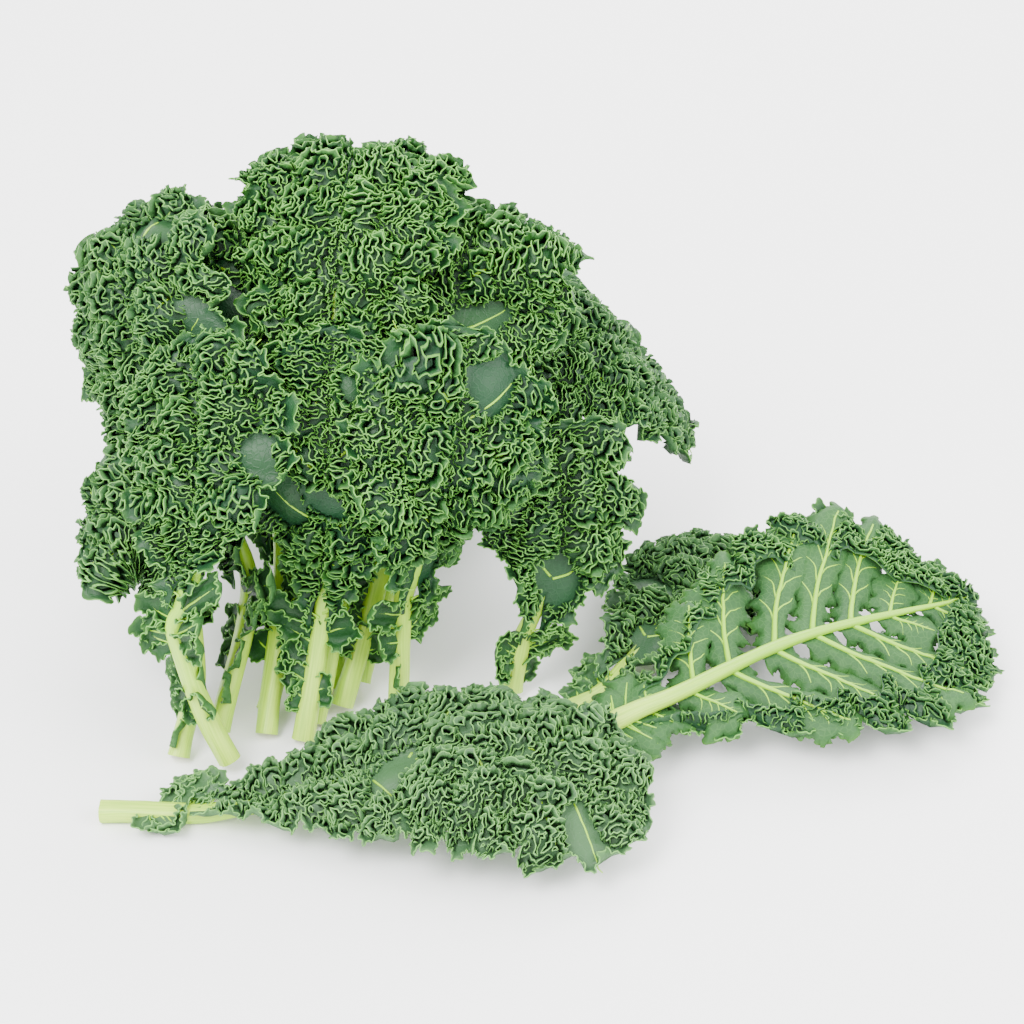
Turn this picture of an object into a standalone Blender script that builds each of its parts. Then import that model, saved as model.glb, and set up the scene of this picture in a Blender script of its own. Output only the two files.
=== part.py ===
"""Curly kale bunch: loose leaves heaped on a table, with cut stems to the front left.

Units are metres, +X to the right, +Y away from the viewer, +Z up. The origin is under
the middle of the bunch. Each leaf is two solids: the curled blade, and the pale stem
that runs on under it as its midrib. Leaves are laid one over the other, from the lowest
up, so that each one rests on those under it.
"""
import math
import random
from typing import NamedTuple

import bmesh
import bpy
from mathutils import Quaternion, Vector
from mathutils.bvhtree import BVHTree

BLADE_THICKNESS = 0.0012
BLADE_GAP = 0.0008
FRILL_HEIGHT = 0.020
FRILL_SLOPE = 0.4
WAVE_PITCH = 0.042
LOBE_PITCH = 0.040
LOBE_DEPTH = 0.13
SEED = 6
STEM_RADIUS = 0.0068
STEM_TIP_RADIUS = 0.0014
STEM_NECK_SHARE = 0.88
STEM_SIDES_SETTING = 1

PETIOLE_STATIONS = 5
BLADE_STATIONS = 32
BLADE_COLUMNS = (-1.0, -0.68, -0.33, 0.0, 0.33, 0.68, 1.0)
MIDDLE = 3
NARROW = 0.024
SPLINE_SAMPLES = 160

DENSE = 3
STEM_STEPS = 3
STEM_TURNS = (-1.6, -0.8, 0.0, 0.8, 1.6)
LAYING_PASSES = 5
SMOOTHING_PASSES = 45
RAY_DEPTH = 0.7
RAY_START = {"round": 0.09, "flat": 0.05, "turned": 0.05}

# Shift that brings the middle of the bunch over the origin.
CENTRE_SHIFT = Vector((-0.0174, 0.0350, -0.0010))

# The line that the leaves lie over, from between the cut ends to low in the heart of the crown.
AXIS_FOOT = Vector((-0.150, -0.170, -0.030))
AXIS_HEART = Vector((-0.100, 0.040, 0.060))

# Half width of a blade along its length, as a share of its greatest half width.
OUTLINE = ((0.0, 0.12), (0.10, 0.20), (0.22, 0.42), (0.36, 0.74), (0.52, 0.95), (0.66, 1.0),
           (0.80, 0.92), (0.91, 0.70), (1.0, 0.30))


class Leaf(NamedTuple):
    """A leaf: the points its midrib passes from the cut end to the tip, its greatest width,
    the share of its length that is bare stem, the radius that it bends to across its width
    (below zero where its edges bend up), its twist in degrees about the midrib, and whether
    it lies round the heart, flat on the table, or turned over."""
    name: str
    points: tuple
    width: float
    bare: float
    bend: float
    twist: float
    lie: str


# From the lowest leaf up.
LEAVES = (
    Leaf("back_middle", ((-0.130, -0.080, 0.008), (-0.112, -0.030, 0.080), (-0.100, 0.050, 0.185),
                         (-0.085, 0.145, 0.170), (-0.075, 0.212, 0.000)), 0.17, 0.30, 0.16, 0,
         "round"),
    Leaf("back_left", ((-0.175, -0.100, 0.008), (-0.155, -0.040, 0.080), (-0.175, 0.045, 0.180),
                       (-0.205, 0.125, 0.160), (-0.222, 0.180, 0.000)), 0.16, 0.30, 0.16, 0,
         "round"),
    Leaf("back_right", ((-0.095, -0.075, 0.008), (-0.070, -0.030, 0.085), (-0.010, 0.040, 0.170),
                        (0.060, 0.105, 0.175), (0.120, 0.160, 0.070)), 0.16, 0.28, 0.16, 10,
         "round"),
    Leaf("top_left", ((-0.172, -0.128, 0.008), (-0.156, -0.062, 0.105), (-0.168, -0.010, 0.215),
                      (-0.182, 0.060, 0.285), (-0.192, 0.125, 0.240)), 0.16, 0.28, 0.16, 10,
         "round"),
    Leaf("top_right", ((-0.108, -0.103, 0.008), (-0.083, -0.052, 0.105), (-0.050, 0.000, 0.215),
                       (-0.025, 0.050, 0.285), (-0.005, 0.115, 0.245)), 0.16, 0.28, 0.16, -10,
         "round"),
    Leaf("top_middle", ((-0.130, -0.120, 0.008), (-0.113, -0.055, 0.115), (-0.112, -0.010, 0.240),
                        (-0.105, 0.060, 0.328), (-0.092, 0.150, 0.262)), 0.16, 0.30, 0.16, 0,
         "round"),
    Leaf("left_high", ((-0.205, -0.122, 0.008), (-0.182, -0.068, 0.100), (-0.222, -0.035, 0.185),
                       (-0.238, 0.020, 0.250), (-0.222, 0.080, 0.265)), 0.15, 0.26, 0.14, 0,
         "round"),
    Leaf("left_low", ((-0.229, -0.150, 0.008), (-0.212, -0.105, 0.075), (-0.238, -0.082, 0.135),
                      (-0.275, -0.050, 0.125)), 0.12, 0.22, 0.12, 0, "round"),
    Leaf("right_side", ((0.005, -0.087, 0.008), (0.012, -0.078, 0.050), (0.030, -0.055, 0.100),
                        (0.030, -0.032, 0.145), (0.018, -0.010, 0.172)), 0.12, 0.20, 0.16, -40,
         "round"),
    Leaf("front_middle", ((-0.140, -0.138, 0.008), (-0.124, -0.092, 0.100), (-0.118, -0.095, 0.190),
                          (-0.113, -0.045, 0.270)), 0.13, 0.26, 0.14, 0, "round"),
    Leaf("front_left", ((-0.192, -0.166, 0.008), (-0.172, -0.105, 0.095), (-0.185, -0.088, 0.175),
                        (-0.190, -0.040, 0.250)), 0.13, 0.24, 0.14, 5, "round"),
    Leaf("front_right", ((-0.068, -0.100, 0.008), (-0.066, -0.085, 0.100), (-0.048, -0.095, 0.180),
                         (-0.035, -0.045, 0.260)), 0.14, 0.26, 0.14, -5, "round"),
    Leaf("floor_right", ((0.035, -0.108, 0.008), (0.068, -0.080, 0.018), (0.115, -0.015, 0.032),
                         (0.175, 0.085, 0.012)), 0.13, 0.14, 0.14, 0, "flat"),
    Leaf("turned_over", ((0.040, -0.170, 0.028), (0.110, -0.130, 0.040), (0.200, -0.075, 0.048),
                         (0.325, -0.010, 0.035)), 0.21, 0.13, -0.35, 16, "turned"),
    Leaf("front_flat", ((-0.263, -0.210, 0.008), (-0.170, -0.212, 0.012), (-0.030, -0.210, 0.055),
                        (0.085, -0.250, 0.025)), 0.15, 0.16, 0.11, 8, "flat"),
)

BLADE_COLOUR = (0.055, 0.160, 0.045, 1.0)
BLADE_ROUGHNESS = 0.55
STEM_COLOUR = (0.420, 0.560, 0.200, 1.0)
STEM_ROUGHNESS = 0.45


def clear_scene():
    for item in list(bpy.data.objects):
        bpy.data.objects.remove(item, do_unlink=True)


def plain_material(name, colour, roughness):
    material = bpy.data.materials.new(name)
    material.use_nodes = True
    shader = material.node_tree.nodes["Principled BSDF"]
    shader.inputs["Base Color"].default_value = colour
    shader.inputs["Roughness"].default_value = roughness
    shader.inputs["Metallic"].default_value = 0.0
    return material


def smooth_step(low, high, value):
    share = min(max((value - low) / (high - low), 0.0), 1.0)
    return share * share * (3.0 - 2.0 * share)


def read_profile(profile, position):
    for (x0, y0), (x1, y1) in zip(profile, profile[1:]):
        if position <= x1:
            return y0 + (y1 - y0) * smooth_step(x0, x1, position)
    return profile[-1][1]


def curve_through(points):
    """Close points on a smooth curve through the given ones, with the length up to each."""
    points = [Vector(point) for point in points]
    ends = [2 * points[0] - points[1]] + points + [2 * points[-1] - points[-2]]
    dense = []
    for index in range(len(points) - 1):
        a, b, c, d = ends[index:index + 4]
        for step in range(SPLINE_SAMPLES):
            t = step / SPLINE_SAMPLES
            dense.append(0.5 * (2 * b + (c - a) * t + (2 * a - 5 * b + 4 * c - d) * t ** 2
                                + (3 * b - a - 3 * c + d) * t ** 3))
    dense.append(points[-1])
    reached = [0.0]
    for before, after in zip(dense, dense[1:]):
        reached.append(reached[-1] + (after - before).length)
    return dense, reached


def point_at(curve, share):
    dense, reached = curve
    goal = share * reached[-1]
    index = 1
    while index < len(reached) - 1 and reached[index] < goal:
        index += 1
    span = reached[index] - reached[index - 1]
    return dense[index - 1].lerp(dense[index], (goal - reached[index - 1]) / span)


def centre_of(point, lie):
    """The point that a leaf is laid away from: on the bunch's axis, or straight below."""
    if lie != "round":
        return Vector((point.x, point.y, -RAY_DEPTH / 2))
    axis = AXIS_HEART - AXIS_FOOT
    share = (point - AXIS_FOOT).dot(axis) / axis.length_squared
    return AXIS_FOOT + axis * min(max(share, 0.0), 1.0)


def leaf_shares(bare):
    """Positions along the leaf: the bare stem's, then the blade's from its start to its tip."""
    stem = [bare * index / PETIOLE_STATIONS for index in range(PETIOLE_STATIONS)]
    blade = [bare + (1.0 - bare) * index / BLADE_STATIONS for index in range(BLADE_STATIONS + 1)]
    return stem + blade


def blade_share(leaf, share):
    return max((share - leaf.bare) / (1.0 - leaf.bare), 0.0)


def half_width(leaf, share, side, lobes, phase):
    """Half width of the blade on one side, with the shallow lobes of its outline."""
    run = blade_share(leaf, share)
    notch = 0.5 + 0.5 * math.cos(math.tau * run * lobes + side * phase)
    return 0.5 * leaf.width * read_profile(OUTLINE, run) * (1.0 - 2.0 * LOBE_DEPTH * notch)


def lay_out(leaf, phase):
    """The leaf's net of points before it is laid on the others."""
    curve = curve_through(leaf.points)
    lobes = round((1.0 - leaf.bare) * curve[1][-1] / LOBE_PITCH)
    net = []
    for share in leaf_shares(leaf.bare):
        here = point_at(curve, share)
        along = point_at(curve, min(share + 0.01, 1.0)) - point_at(curve, max(share - 0.01, 0.0))
        along.normalize()
        out = (here - centre_of(here, leaf.lie)).normalized()
        out = (out - along * out.dot(along)).normalized()
        out.rotate(Quaternion(along, math.radians(leaf.twist)))
        across = along.cross(out)
        row = []
        for column in BLADE_COLUMNS:
            side = math.copysign(1.0, column)
            angle = half_width(leaf, share, side, lobes, phase) * column / leaf.bend
            row.append(here + across * leaf.bend * math.sin(angle)
                       - out * leaf.bend * (1.0 - math.cos(angle)))
        net.append(row)
    return net


def stem_radius(leaf, share):
    """Radius of the stem: nearly even up to the blade, then thinning to the tip."""
    if share < leaf.bare:
        return STEM_RADIUS * (1.0 - (1.0 - STEM_NECK_SHARE) * share / leaf.bare)
    thick = STEM_NECK_SHARE * STEM_RADIUS
    return STEM_TIP_RADIUS + (thick - STEM_TIP_RADIUS) * (1.0 - blade_share(leaf, share))


def net_normals(net):
    """Normals of the net, on the side that lies away from the heart."""
    rows = len(net)
    columns = len(BLADE_COLUMNS)
    normals = []
    for i in range(rows):
        row = []
        for j in range(columns):
            along = net[min(i + 1, rows - 1)][j] - net[max(i - 1, 0)][j]
            across = net[i][min(j + 1, columns - 1)] - net[i][max(j - 1, 0)]
            row.append(across.cross(along).normalized())
        normals.append(row)
    return normals


def blade_room(leaf, column):
    """How far the blade's middle surface stays above what it lies on."""
    room = BLADE_THICKNESS + BLADE_GAP
    if leaf.lie == "turned":
        room += FRILL_HEIGHT * smooth_step(0.0, 0.5, abs(column))
    return room


def push_needed(point, room, lie, tree):
    """How far a point has to move outwards to keep its room above the leaves under it."""
    centre = centre_of(point, lie)
    reach = (point - centre).length
    out = (point - centre) / reach
    most = 0.0
    if tree is not None:
        hit = tree.ray_cast(centre + out * (reach + RAY_START[lie]), -out, RAY_DEPTH)[0]
        if hit is not None:
            most = (hit - centre).length + room - reach
    if lie != "round":
        most = max(most, room - point.z)
    return max(most, 0.0)


def blade_needs(leaf, net, tree):
    """The push that each point of the net needs, from samples in the cells round it."""
    need = [[0.0] * len(BLADE_COLUMNS) for _ in net]
    for i in range(len(net) - 1):
        for j in range(len(BLADE_COLUMNS) - 1):
            most = 0.0
            for a in range(DENSE):
                for b in range(DENSE):
                    t = (b + 0.5) / DENSE
                    low = net[i][j].lerp(net[i][j + 1], t)
                    high = net[i + 1][j].lerp(net[i + 1][j + 1], t)
                    column = BLADE_COLUMNS[j] * (1.0 - t) + BLADE_COLUMNS[j + 1] * t
                    point = low.lerp(high, (a + 0.5) / DENSE)
                    most = max(most, push_needed(point, blade_room(leaf, column), leaf.lie, tree))
            for p, q in ((i, j), (i, j + 1), (i + 1, j), (i + 1, j + 1)):
                need[p][q] = max(need[p][q], most)
    return need


def edge_dip(net, normals, i):
    """How steeply the blade falls away on either side of its midrib."""
    dips = [0.0]
    for side in (MIDDLE - 1, MIDDLE + 1):
        step = net[i][side] - net[i][MIDDLE]
        dips.append(-step.dot(normals[i][MIDDLE]) / step.length)
    return max(dips)


def stem_depth(leaf, net, normals, i, radius):
    """How far the stem's middle line lies under the blade's middle surface."""
    dip = 0.0
    if leaf.lie != "turned":
        dip = max(edge_dip(net, normals, k) for k in (i, min(i + 1, len(net) - 1)))
    return radius * (1.0 + dip) + BLADE_THICKNESS + BLADE_GAP


def add_stem_needs(leaf, net, need, tree):
    """Raise the middle of the net where the stem under it would touch something."""
    if leaf.lie == "turned":
        return
    normals = net_normals(net)
    shares = leaf_shares(leaf.bare)
    for i in range(len(net) - 1):
        for step in range(STEM_STEPS):
            t = step / STEM_STEPS
            radius = stem_radius(leaf, shares[i] * (1.0 - t) + shares[i + 1] * t)
            up = normals[i][MIDDLE].lerp(normals[i + 1][MIDDLE], t)
            aside = (net[i][MIDDLE + 1] - net[i][MIDDLE - 1]).normalized()
            middle = net[i][MIDDLE].lerp(net[i + 1][MIDDLE], t)
            middle = middle - up * stem_depth(leaf, net, normals, i, radius)
            push = 0.0
            for turn in STEM_TURNS:
                skin = aside * math.sin(turn) - up * math.cos(turn)
                push = max(push, push_needed(middle + skin * radius, BLADE_GAP, leaf.lie, tree))
            for p in (max(i - 1, 0), i, i + 1):
                for j in (MIDDLE - 1, MIDDLE, MIDDLE + 1):
                    need[p][j] = max(need[p][j], push)


def even_where_narrow(net, need):
    """Push the whole width alike where the leaf is narrow."""
    return [[max(row)] * len(row) if (points[-1] - points[0]).length < 2.0 * NARROW else row
            for points, row in zip(net, need)]


def smooth_push(need):
    """Even out the pushes without letting any fall below what is needed. The stiff midrib
    bridges the dips between the points that it rests on, and the cut end stays in place."""
    rows = len(need)
    columns = len(BLADE_COLUMNS)
    push = [row[:] for row in need]
    for _ in range(SMOOTHING_PASSES):
        before = [row[:] for row in push]
        for i in range(1, rows):
            for j in range(columns):
                around = (before[min(i + 1, rows - 1)][j] + before[max(i - 1, 0)][j]
                          + before[i][min(j + 1, columns - 1)] + before[i][max(j - 1, 0)])
                even = 0.5 * before[i][j] + 0.125 * around
                if j == MIDDLE:
                    even = max(even, 0.5 * (before[max(i - 1, 0)][j]
                                            + before[min(i + 1, rows - 1)][j]))
                push[i][j] = max(need[i][j], even)
    return push


def lay_on(leaf, net, tree):
    """Push the net outwards until it clears the table and the leaves already there."""
    for _ in range(LAYING_PASSES):
        need = blade_needs(leaf, net, tree)
        add_stem_needs(leaf, net, need, tree)
        push = smooth_push(even_where_narrow(net, need))
        for i in range(len(net)):
            for j in range(len(BLADE_COLUMNS)):
                out = (net[i][j] - centre_of(net[i][j], leaf.lie)).normalized()
                net[i][j] = above_table(net[i][j] + out * push[i][j], BLADE_THICKNESS)


def above_table(point, room):
    return Vector((point.x, point.y, max(point.z, room)))


def frill(leaf, share, column, waves, phase):
    """Height of the ruffle above the blade, from none at the midrib to full at the edge."""
    run = blade_share(leaf, share)
    edge = smooth_step(0.15, 1.0, abs(column))
    turn = math.tau * run * waves + phase * (2.0 if column < 0 else 3.0)
    height = min(FRILL_HEIGHT, FRILL_SLOPE * 0.5 * leaf.width * read_profile(OUTLINE, run))
    return height * edge * (0.5 + 0.5 * math.sin(turn))


def blade_mesh(leaf, net, normals, phase):
    """The blade's middle surface as a grid, waved at its edge and split into triangles."""
    shape = bmesh.new()
    bmesh.ops.create_grid(shape, x_segments=len(BLADE_COLUMNS) - 1, y_segments=BLADE_STATIONS,
                          size=1.0)
    shape.verts.ensure_lookup_table()
    shares = leaf_shares(leaf.bare)
    length = sum((net[i + 1][MIDDLE] - net[i][MIDDLE]).length
                 for i in range(PETIOLE_STATIONS, len(net) - 1))
    waves = round(length / WAVE_PITCH)
    facing = -1.0 if leaf.lie == "turned" else 1.0
    for index, vertex in enumerate(shape.verts):
        i = PETIOLE_STATIONS + index // len(BLADE_COLUMNS)
        j = index % len(BLADE_COLUMNS)
        lift = facing * frill(leaf, shares[i], BLADE_COLUMNS[j], waves, phase)
        vertex.co = above_table(net[i][j] + normals[i][j] * lift, BLADE_THICKNESS)
    bmesh.ops.triangulate(shape, faces=shape.faces, quad_method="FIXED")
    mesh = bpy.data.meshes.new(f"leaf_{leaf.name}")
    shape.to_mesh(mesh)
    shape.free()
    return mesh


def add_blade(leaf, net, normals, phase, material, group):
    """The blade, thickened evenly on both sides of its middle surface."""
    mesh = blade_mesh(leaf, net, normals, phase)
    mesh.materials.append(material)
    blade = bpy.data.objects.new(mesh.name, mesh)
    group.objects.link(blade)
    solidify = blade.modifiers.new("Thickness", "SOLIDIFY")
    solidify.thickness = BLADE_THICKNESS
    solidify.offset = 0.0
    return blade


def add_stem(leaf, net, normals, material, group):
    """The stem, and the midrib that it becomes under the blade, as one tapered round rod."""
    data = bpy.data.curves.new(f"stem_{leaf.name}", "CURVE")
    data.dimensions = "3D"
    data.bevel_depth = 1.0
    data.bevel_resolution = STEM_SIDES_SETTING
    data.use_fill_caps = True
    data.materials.append(material)
    shares = leaf_shares(leaf.bare)
    facing = -1.0 if leaf.lie == "turned" else 1.0
    stations = list(range(PETIOLE_STATIONS)) + list(range(PETIOLE_STATIONS, len(shares) - 2, 2))
    line = data.splines.new("POLY")
    line.points.add(len(stations) - 1)
    for point, i in zip(line.points, stations):
        radius = stem_radius(leaf, shares[i])
        depth = stem_depth(leaf, net, normals, i, radius)
        place = above_table(net[i][MIDDLE] - normals[i][MIDDLE] * facing * depth, radius)
        point.co = (*place, 1.0)
        point.radius = radius
    stem = bpy.data.objects.new(data.name, data)
    group.objects.link(stem)
    return stem


def solid_tree(pieces):
    """A search tree of every solid that is already laid."""
    if not pieces:
        return None
    depsgraph = bpy.context.evaluated_depsgraph_get()
    points = []
    faces = []
    for piece in pieces:
        mesh = bpy.data.meshes.new_from_object(piece.evaluated_get(depsgraph))
        start = len(points)
        points += [vertex.co.copy() for vertex in mesh.vertices]
        faces += [[start + index for index in face.vertices] for face in mesh.polygons]
        bpy.data.meshes.remove(mesh)
    return BVHTree.FromPolygons(points, faces)


def add_leaf(leaf, number, pieces, materials, group):
    phase = random.Random(SEED + number).uniform(0.0, math.tau)
    net = lay_out(leaf, phase)
    lay_on(leaf, net, solid_tree(pieces))
    normals = net_normals(net)
    pieces.append(add_blade(leaf, net, normals, phase, materials["blade"], group))
    pieces.append(add_stem(leaf, net, normals, materials["stem"], group))


def main():
    clear_scene()
    group = bpy.data.collections.new("kale_bunch")
    bpy.context.scene.collection.children.link(group)
    materials = {"blade": plain_material("curly_blade", BLADE_COLOUR, BLADE_ROUGHNESS),
                 "stem": plain_material("pale_stem", STEM_COLOUR, STEM_ROUGHNESS)}
    pieces = []
    for number, leaf in enumerate(LEAVES):
        add_leaf(leaf, number, pieces, materials, group)
    for piece in pieces:
        piece.location = CENTRE_SHIFT


main()
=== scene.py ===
"""Looks of the curly kale bunch: ruffled blades, veined stems and a plain pale studio.

Units are metres, +Z up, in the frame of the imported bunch. Each leaf is first drawn flat: a
puffed sheet with a labyrinth of curls standing on it, or the lobes of the turned leaf, with a
meandering frill on every margin. It is then laid over the leaves under it, as its solid is.
"""
import math
import random
from typing import NamedTuple

import bmesh
import bpy
import numpy as np
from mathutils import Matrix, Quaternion, Vector
from mathutils.bvhtree import BVHTree


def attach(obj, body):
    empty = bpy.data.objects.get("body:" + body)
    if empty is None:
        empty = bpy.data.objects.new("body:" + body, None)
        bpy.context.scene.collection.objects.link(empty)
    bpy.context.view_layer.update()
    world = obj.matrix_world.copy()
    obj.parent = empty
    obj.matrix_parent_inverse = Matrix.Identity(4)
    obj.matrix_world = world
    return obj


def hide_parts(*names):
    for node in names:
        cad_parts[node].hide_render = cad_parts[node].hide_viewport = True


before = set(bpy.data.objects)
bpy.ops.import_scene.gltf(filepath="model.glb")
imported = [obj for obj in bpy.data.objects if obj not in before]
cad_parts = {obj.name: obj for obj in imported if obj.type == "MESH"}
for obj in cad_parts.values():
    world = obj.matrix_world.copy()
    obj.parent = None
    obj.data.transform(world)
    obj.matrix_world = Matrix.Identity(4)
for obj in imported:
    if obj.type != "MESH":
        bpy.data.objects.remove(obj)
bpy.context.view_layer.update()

bl_info = {
    "name": "Curly Kale Bunch",
    "version": (1, 0, 0),
    "blender": (4, 5, 0),
    "location": "View3D > Sidebar > Kale",
    "description": "Builds the ruffled leaves, stems and studio of a curly kale bunch",
    "category": "Object",
}

# Millimetres in a metre, and a length that keeps a division from failing.
MILLIMETRES = 1000.0
TINY = 1e-9

# How the solids of the bunch are laid; the leaves follow the same shapes.
BLADE_THICKNESS = 0.0012
BLADE_GAP = 0.0008
FRILL_ROOM = 0.020
SOLID_LOBE_PITCH = 0.040
SOLID_LOBE_DEPTH = 0.13
SEED = 6
LOOKS_SEED = 1000
STEM_RADIUS = 0.0068
STEM_TIP_RADIUS = 0.0014
STEM_NECK_SHARE = 0.88
PETIOLE_STATIONS = 5
BLADE_STATIONS = 32
BLADE_COLUMNS = (-1.0, -0.68, -0.33, 0.0, 0.33, 0.68, 1.0)
MIDDLE = 3
NARROW = 0.024
SPLINE_SAMPLES = 160
DENSE = 3
STEM_STEPS = 3
STEM_TURNS = (-1.6, -0.8, 0.0, 0.8, 1.6)
LAYING_PASSES = 5
SMOOTHING_PASSES = 45
RAY_DEPTH = 0.7
RAY_START = {"round": 0.09, "flat": 0.05, "turned": 0.05}
CENTRE_SHIFT = Vector((-0.0174, 0.0350, -0.0010))
AXIS_FOOT = Vector((-0.150, -0.170, -0.030))
AXIS_HEART = Vector((-0.100, 0.040, 0.060))
OUTLINE = ((0.0, 0.12), (0.10, 0.20), (0.22, 0.42), (0.36, 0.74), (0.52, 0.95), (0.66, 1.0),
           (0.80, 0.92), (0.91, 0.70), (1.0, 0.30))

# The room above a blade, up to the leaves that lie on it: the step of its grid, the most that
# is looked for, how far over the blade the search starts, the stretch that gives its direction,
# how much is left free, and how near the table anything comes.
ROOM_STEP = 0.006
MOST_ROOM = 0.045
ROOM_LIFT = 0.0008
ROOM_AIM = 0.01
CLEARANCE = 0.0015
FLOOR_HEIGHT = 0.0007

# Curls: step of the grid that their lines are found on, spacing of the points on a rim, rim
# points for each point of the root, how much softer than the rim's line the root's is, waves
# that make up the labyrinth, share of their height below which they end, and least length.
CURL_GRID = 0.0008
CURL_SPACING = 0.00125
ROOT_SHARE = 4
ROOT_SOFTNESS = 0.0018
CURL_WAVES = 56
CURL_MASK = 0.22
SHORTEST_CURL = 0.005
LOWEST_CURL = 0.0006
ROOT_SINK = 0.0004

# The blade: how sharply its puffs rise, how far they are warped, how deep and how narrow the
# notches of its margin are, where its tip rounds off, and its rows and columns.
PUFF_SHARPNESS = 2.8
PUFF_WARP = 0.0042
SMOOTH_HEIGHT = 0.25
NOTCH_DEPTH = 0.24
NOTCH_SHARPNESS = 6
TIP_START = 0.88
TIP_SHARE = 0.12
BLADE_ROW = 0.0045
HALF_COLUMNS = (0.0, 0.10, 0.22, 0.35, 0.48, 0.61, 0.74, 0.87, 1.0)

# Lobes, in shares of their length along the vein and of their half width across it, and the
# angle to the midrib at which veins leave it at the blade's foot, and how much it closes up.
LOBE_ROWS = (0.0, 0.05, 0.12, 0.20, 0.29, 0.38, 0.48, 0.58, 0.68, 0.78, 0.88, 0.95, 1.0)
LOBE_COLUMNS = (-1.0, -0.66, -0.33, 0.0, 0.33, 0.66, 1.0)
LEAFLET_ROWS = (0.0, 0.10, 0.25, 0.42, 0.60, 0.80, 1.0)
LEAFLET_COLUMNS = (-1.0, -0.5, 0.0, 0.5, 1.0)
FRILL_START = 1
LOBE_FAN = ((0.0, 0.50), (0.20, 0.52), (0.60, 0.62), (0.85, 0.66), (1.0, 0.60))
OPEN_FAN = ((0.0, 0.46), (0.12, 0.20), (0.28, 0.20), (0.42, 0.34), (0.52, 0.26), (0.66, 0.44),
            (0.86, 0.52), (1.0, 0.46))
TIP_ROUNDING = 0.20
LOBE_ANGLE = 66.0
VEIN_ANGLE = 62.0
ANGLE_CLOSING = 26.0

# Colours of leaf tissue, then its looks on each side of a blade and on the rims, where a brighter
# finish is a painted highlight: the material, these colours, how much its net of veins shows, and
# its roughness.
# The first colour is a dark green that also serves as painted shade low in the curls and in
# creases; the third is a painted highlight on the tops of the rims.
TISSUE_COLOURS = ("Dark And Shade", "Fresh", "Edge", "Net")
TISSUES = {
    "upper": ("curly_blade_upper", ((0.0070, 0.040, 0.014), (0.014, 0.070, 0.008),
                                    (0.044, 0.150, 0.018), (0.028, 0.090, 0.035)), 0.14, 0.42),
    "under": ("curly_blade_underside", ((0.013, 0.058, 0.015), (0.034, 0.125, 0.021),
                                        (0.066, 0.185, 0.020), (0.068, 0.185, 0.042)), 0.25, 0.55),
    # Brighter than the blade's sides: a painted highlight where the rims catch the light.
    "rim": ("curly_blade_rim", ((0.035, 0.125, 0.012), (0.112, 0.310, 0.048),
                                (0.125, 0.335, 0.054), (0.112, 0.310, 0.048)), 0.0, 0.45),
}
BLOOM_COLOUR = (0.130, 0.240, 0.120, 1.0)
BUMP_DISTANCE = 0.0006

# Each light's name, place, size and power, and the place that they and the camera aim at.
LIGHTS = (("key_light", (-1.2, -1.4, 2.4), 1.6, 135.0),
          ("fill_light", (1.8, -0.8, 1.6), 1.8, 60.0),
          ("back_light", (0.3, 2.0, 1.8), 1.6, 65.0))
LIT_PLACE = Vector((0.0, 0.0, 0.1))

# Places of the finishes among a blade's materials.
UPPER = 0
UNDER = 1
RIM = 2

# Stems and veins: sides of a stem, loops of its cut face as shares of its radius and how far
# each stands out, the shortest lobe with veins, and the branches of a lobe's vein, as the
# shares of its length where they start and that they run, and how far out they aim.
STEM_SIDES = 16
CUT_LOOPS = ((0.05, -0.0007), (0.45, -0.0007), (0.84, -0.0002), (0.96, 0.0))
SHORTEST_VEINED = 0.012
VEIN_BRANCHES = ((0.22, 0.20, 0.95), (0.40, 0.24, 0.9), (0.56, 0.26, 0.8), (0.72, 0.22, 0.7))

# Rows of a frill from its root to its rim: share of the height, how much of the wide folds, the
# curls and the crimps each one has, its points for each gap at the root, and the painted highlight
# on it, which grows towards the rim.
FRILL_ROWS = ((0.42, 0.55, 0.40, 0.0, 2, 0.10), (1.00, 1.00, 0.80, 1.0, 10, 1.00))
# How far each kind of wave turns a frill's rim, in radians.
FOLD_TURN = 1.10
CURL_TURN = 1.35
CRIMP_TURN = 0.30


class Leaf(NamedTuple):
    """A leaf: the points in millimetres that its midrib passes from the cut end to the tip, its
    greatest width, the share of its length that is bare stem, the radius that it bends to
    across its width (below zero where its edges bend up), its twist in degrees about the
    midrib, whether it lies round the heart, flat on the table or turned over, how bright its
    green is, how far its tip stands off the leaves under it, and how much pale bloom it has."""
    name: str
    points: tuple
    width: float
    bare: float
    bend: float
    twist: float
    lie: str
    tone: float
    tip_lift: float
    bloom: float


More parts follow.
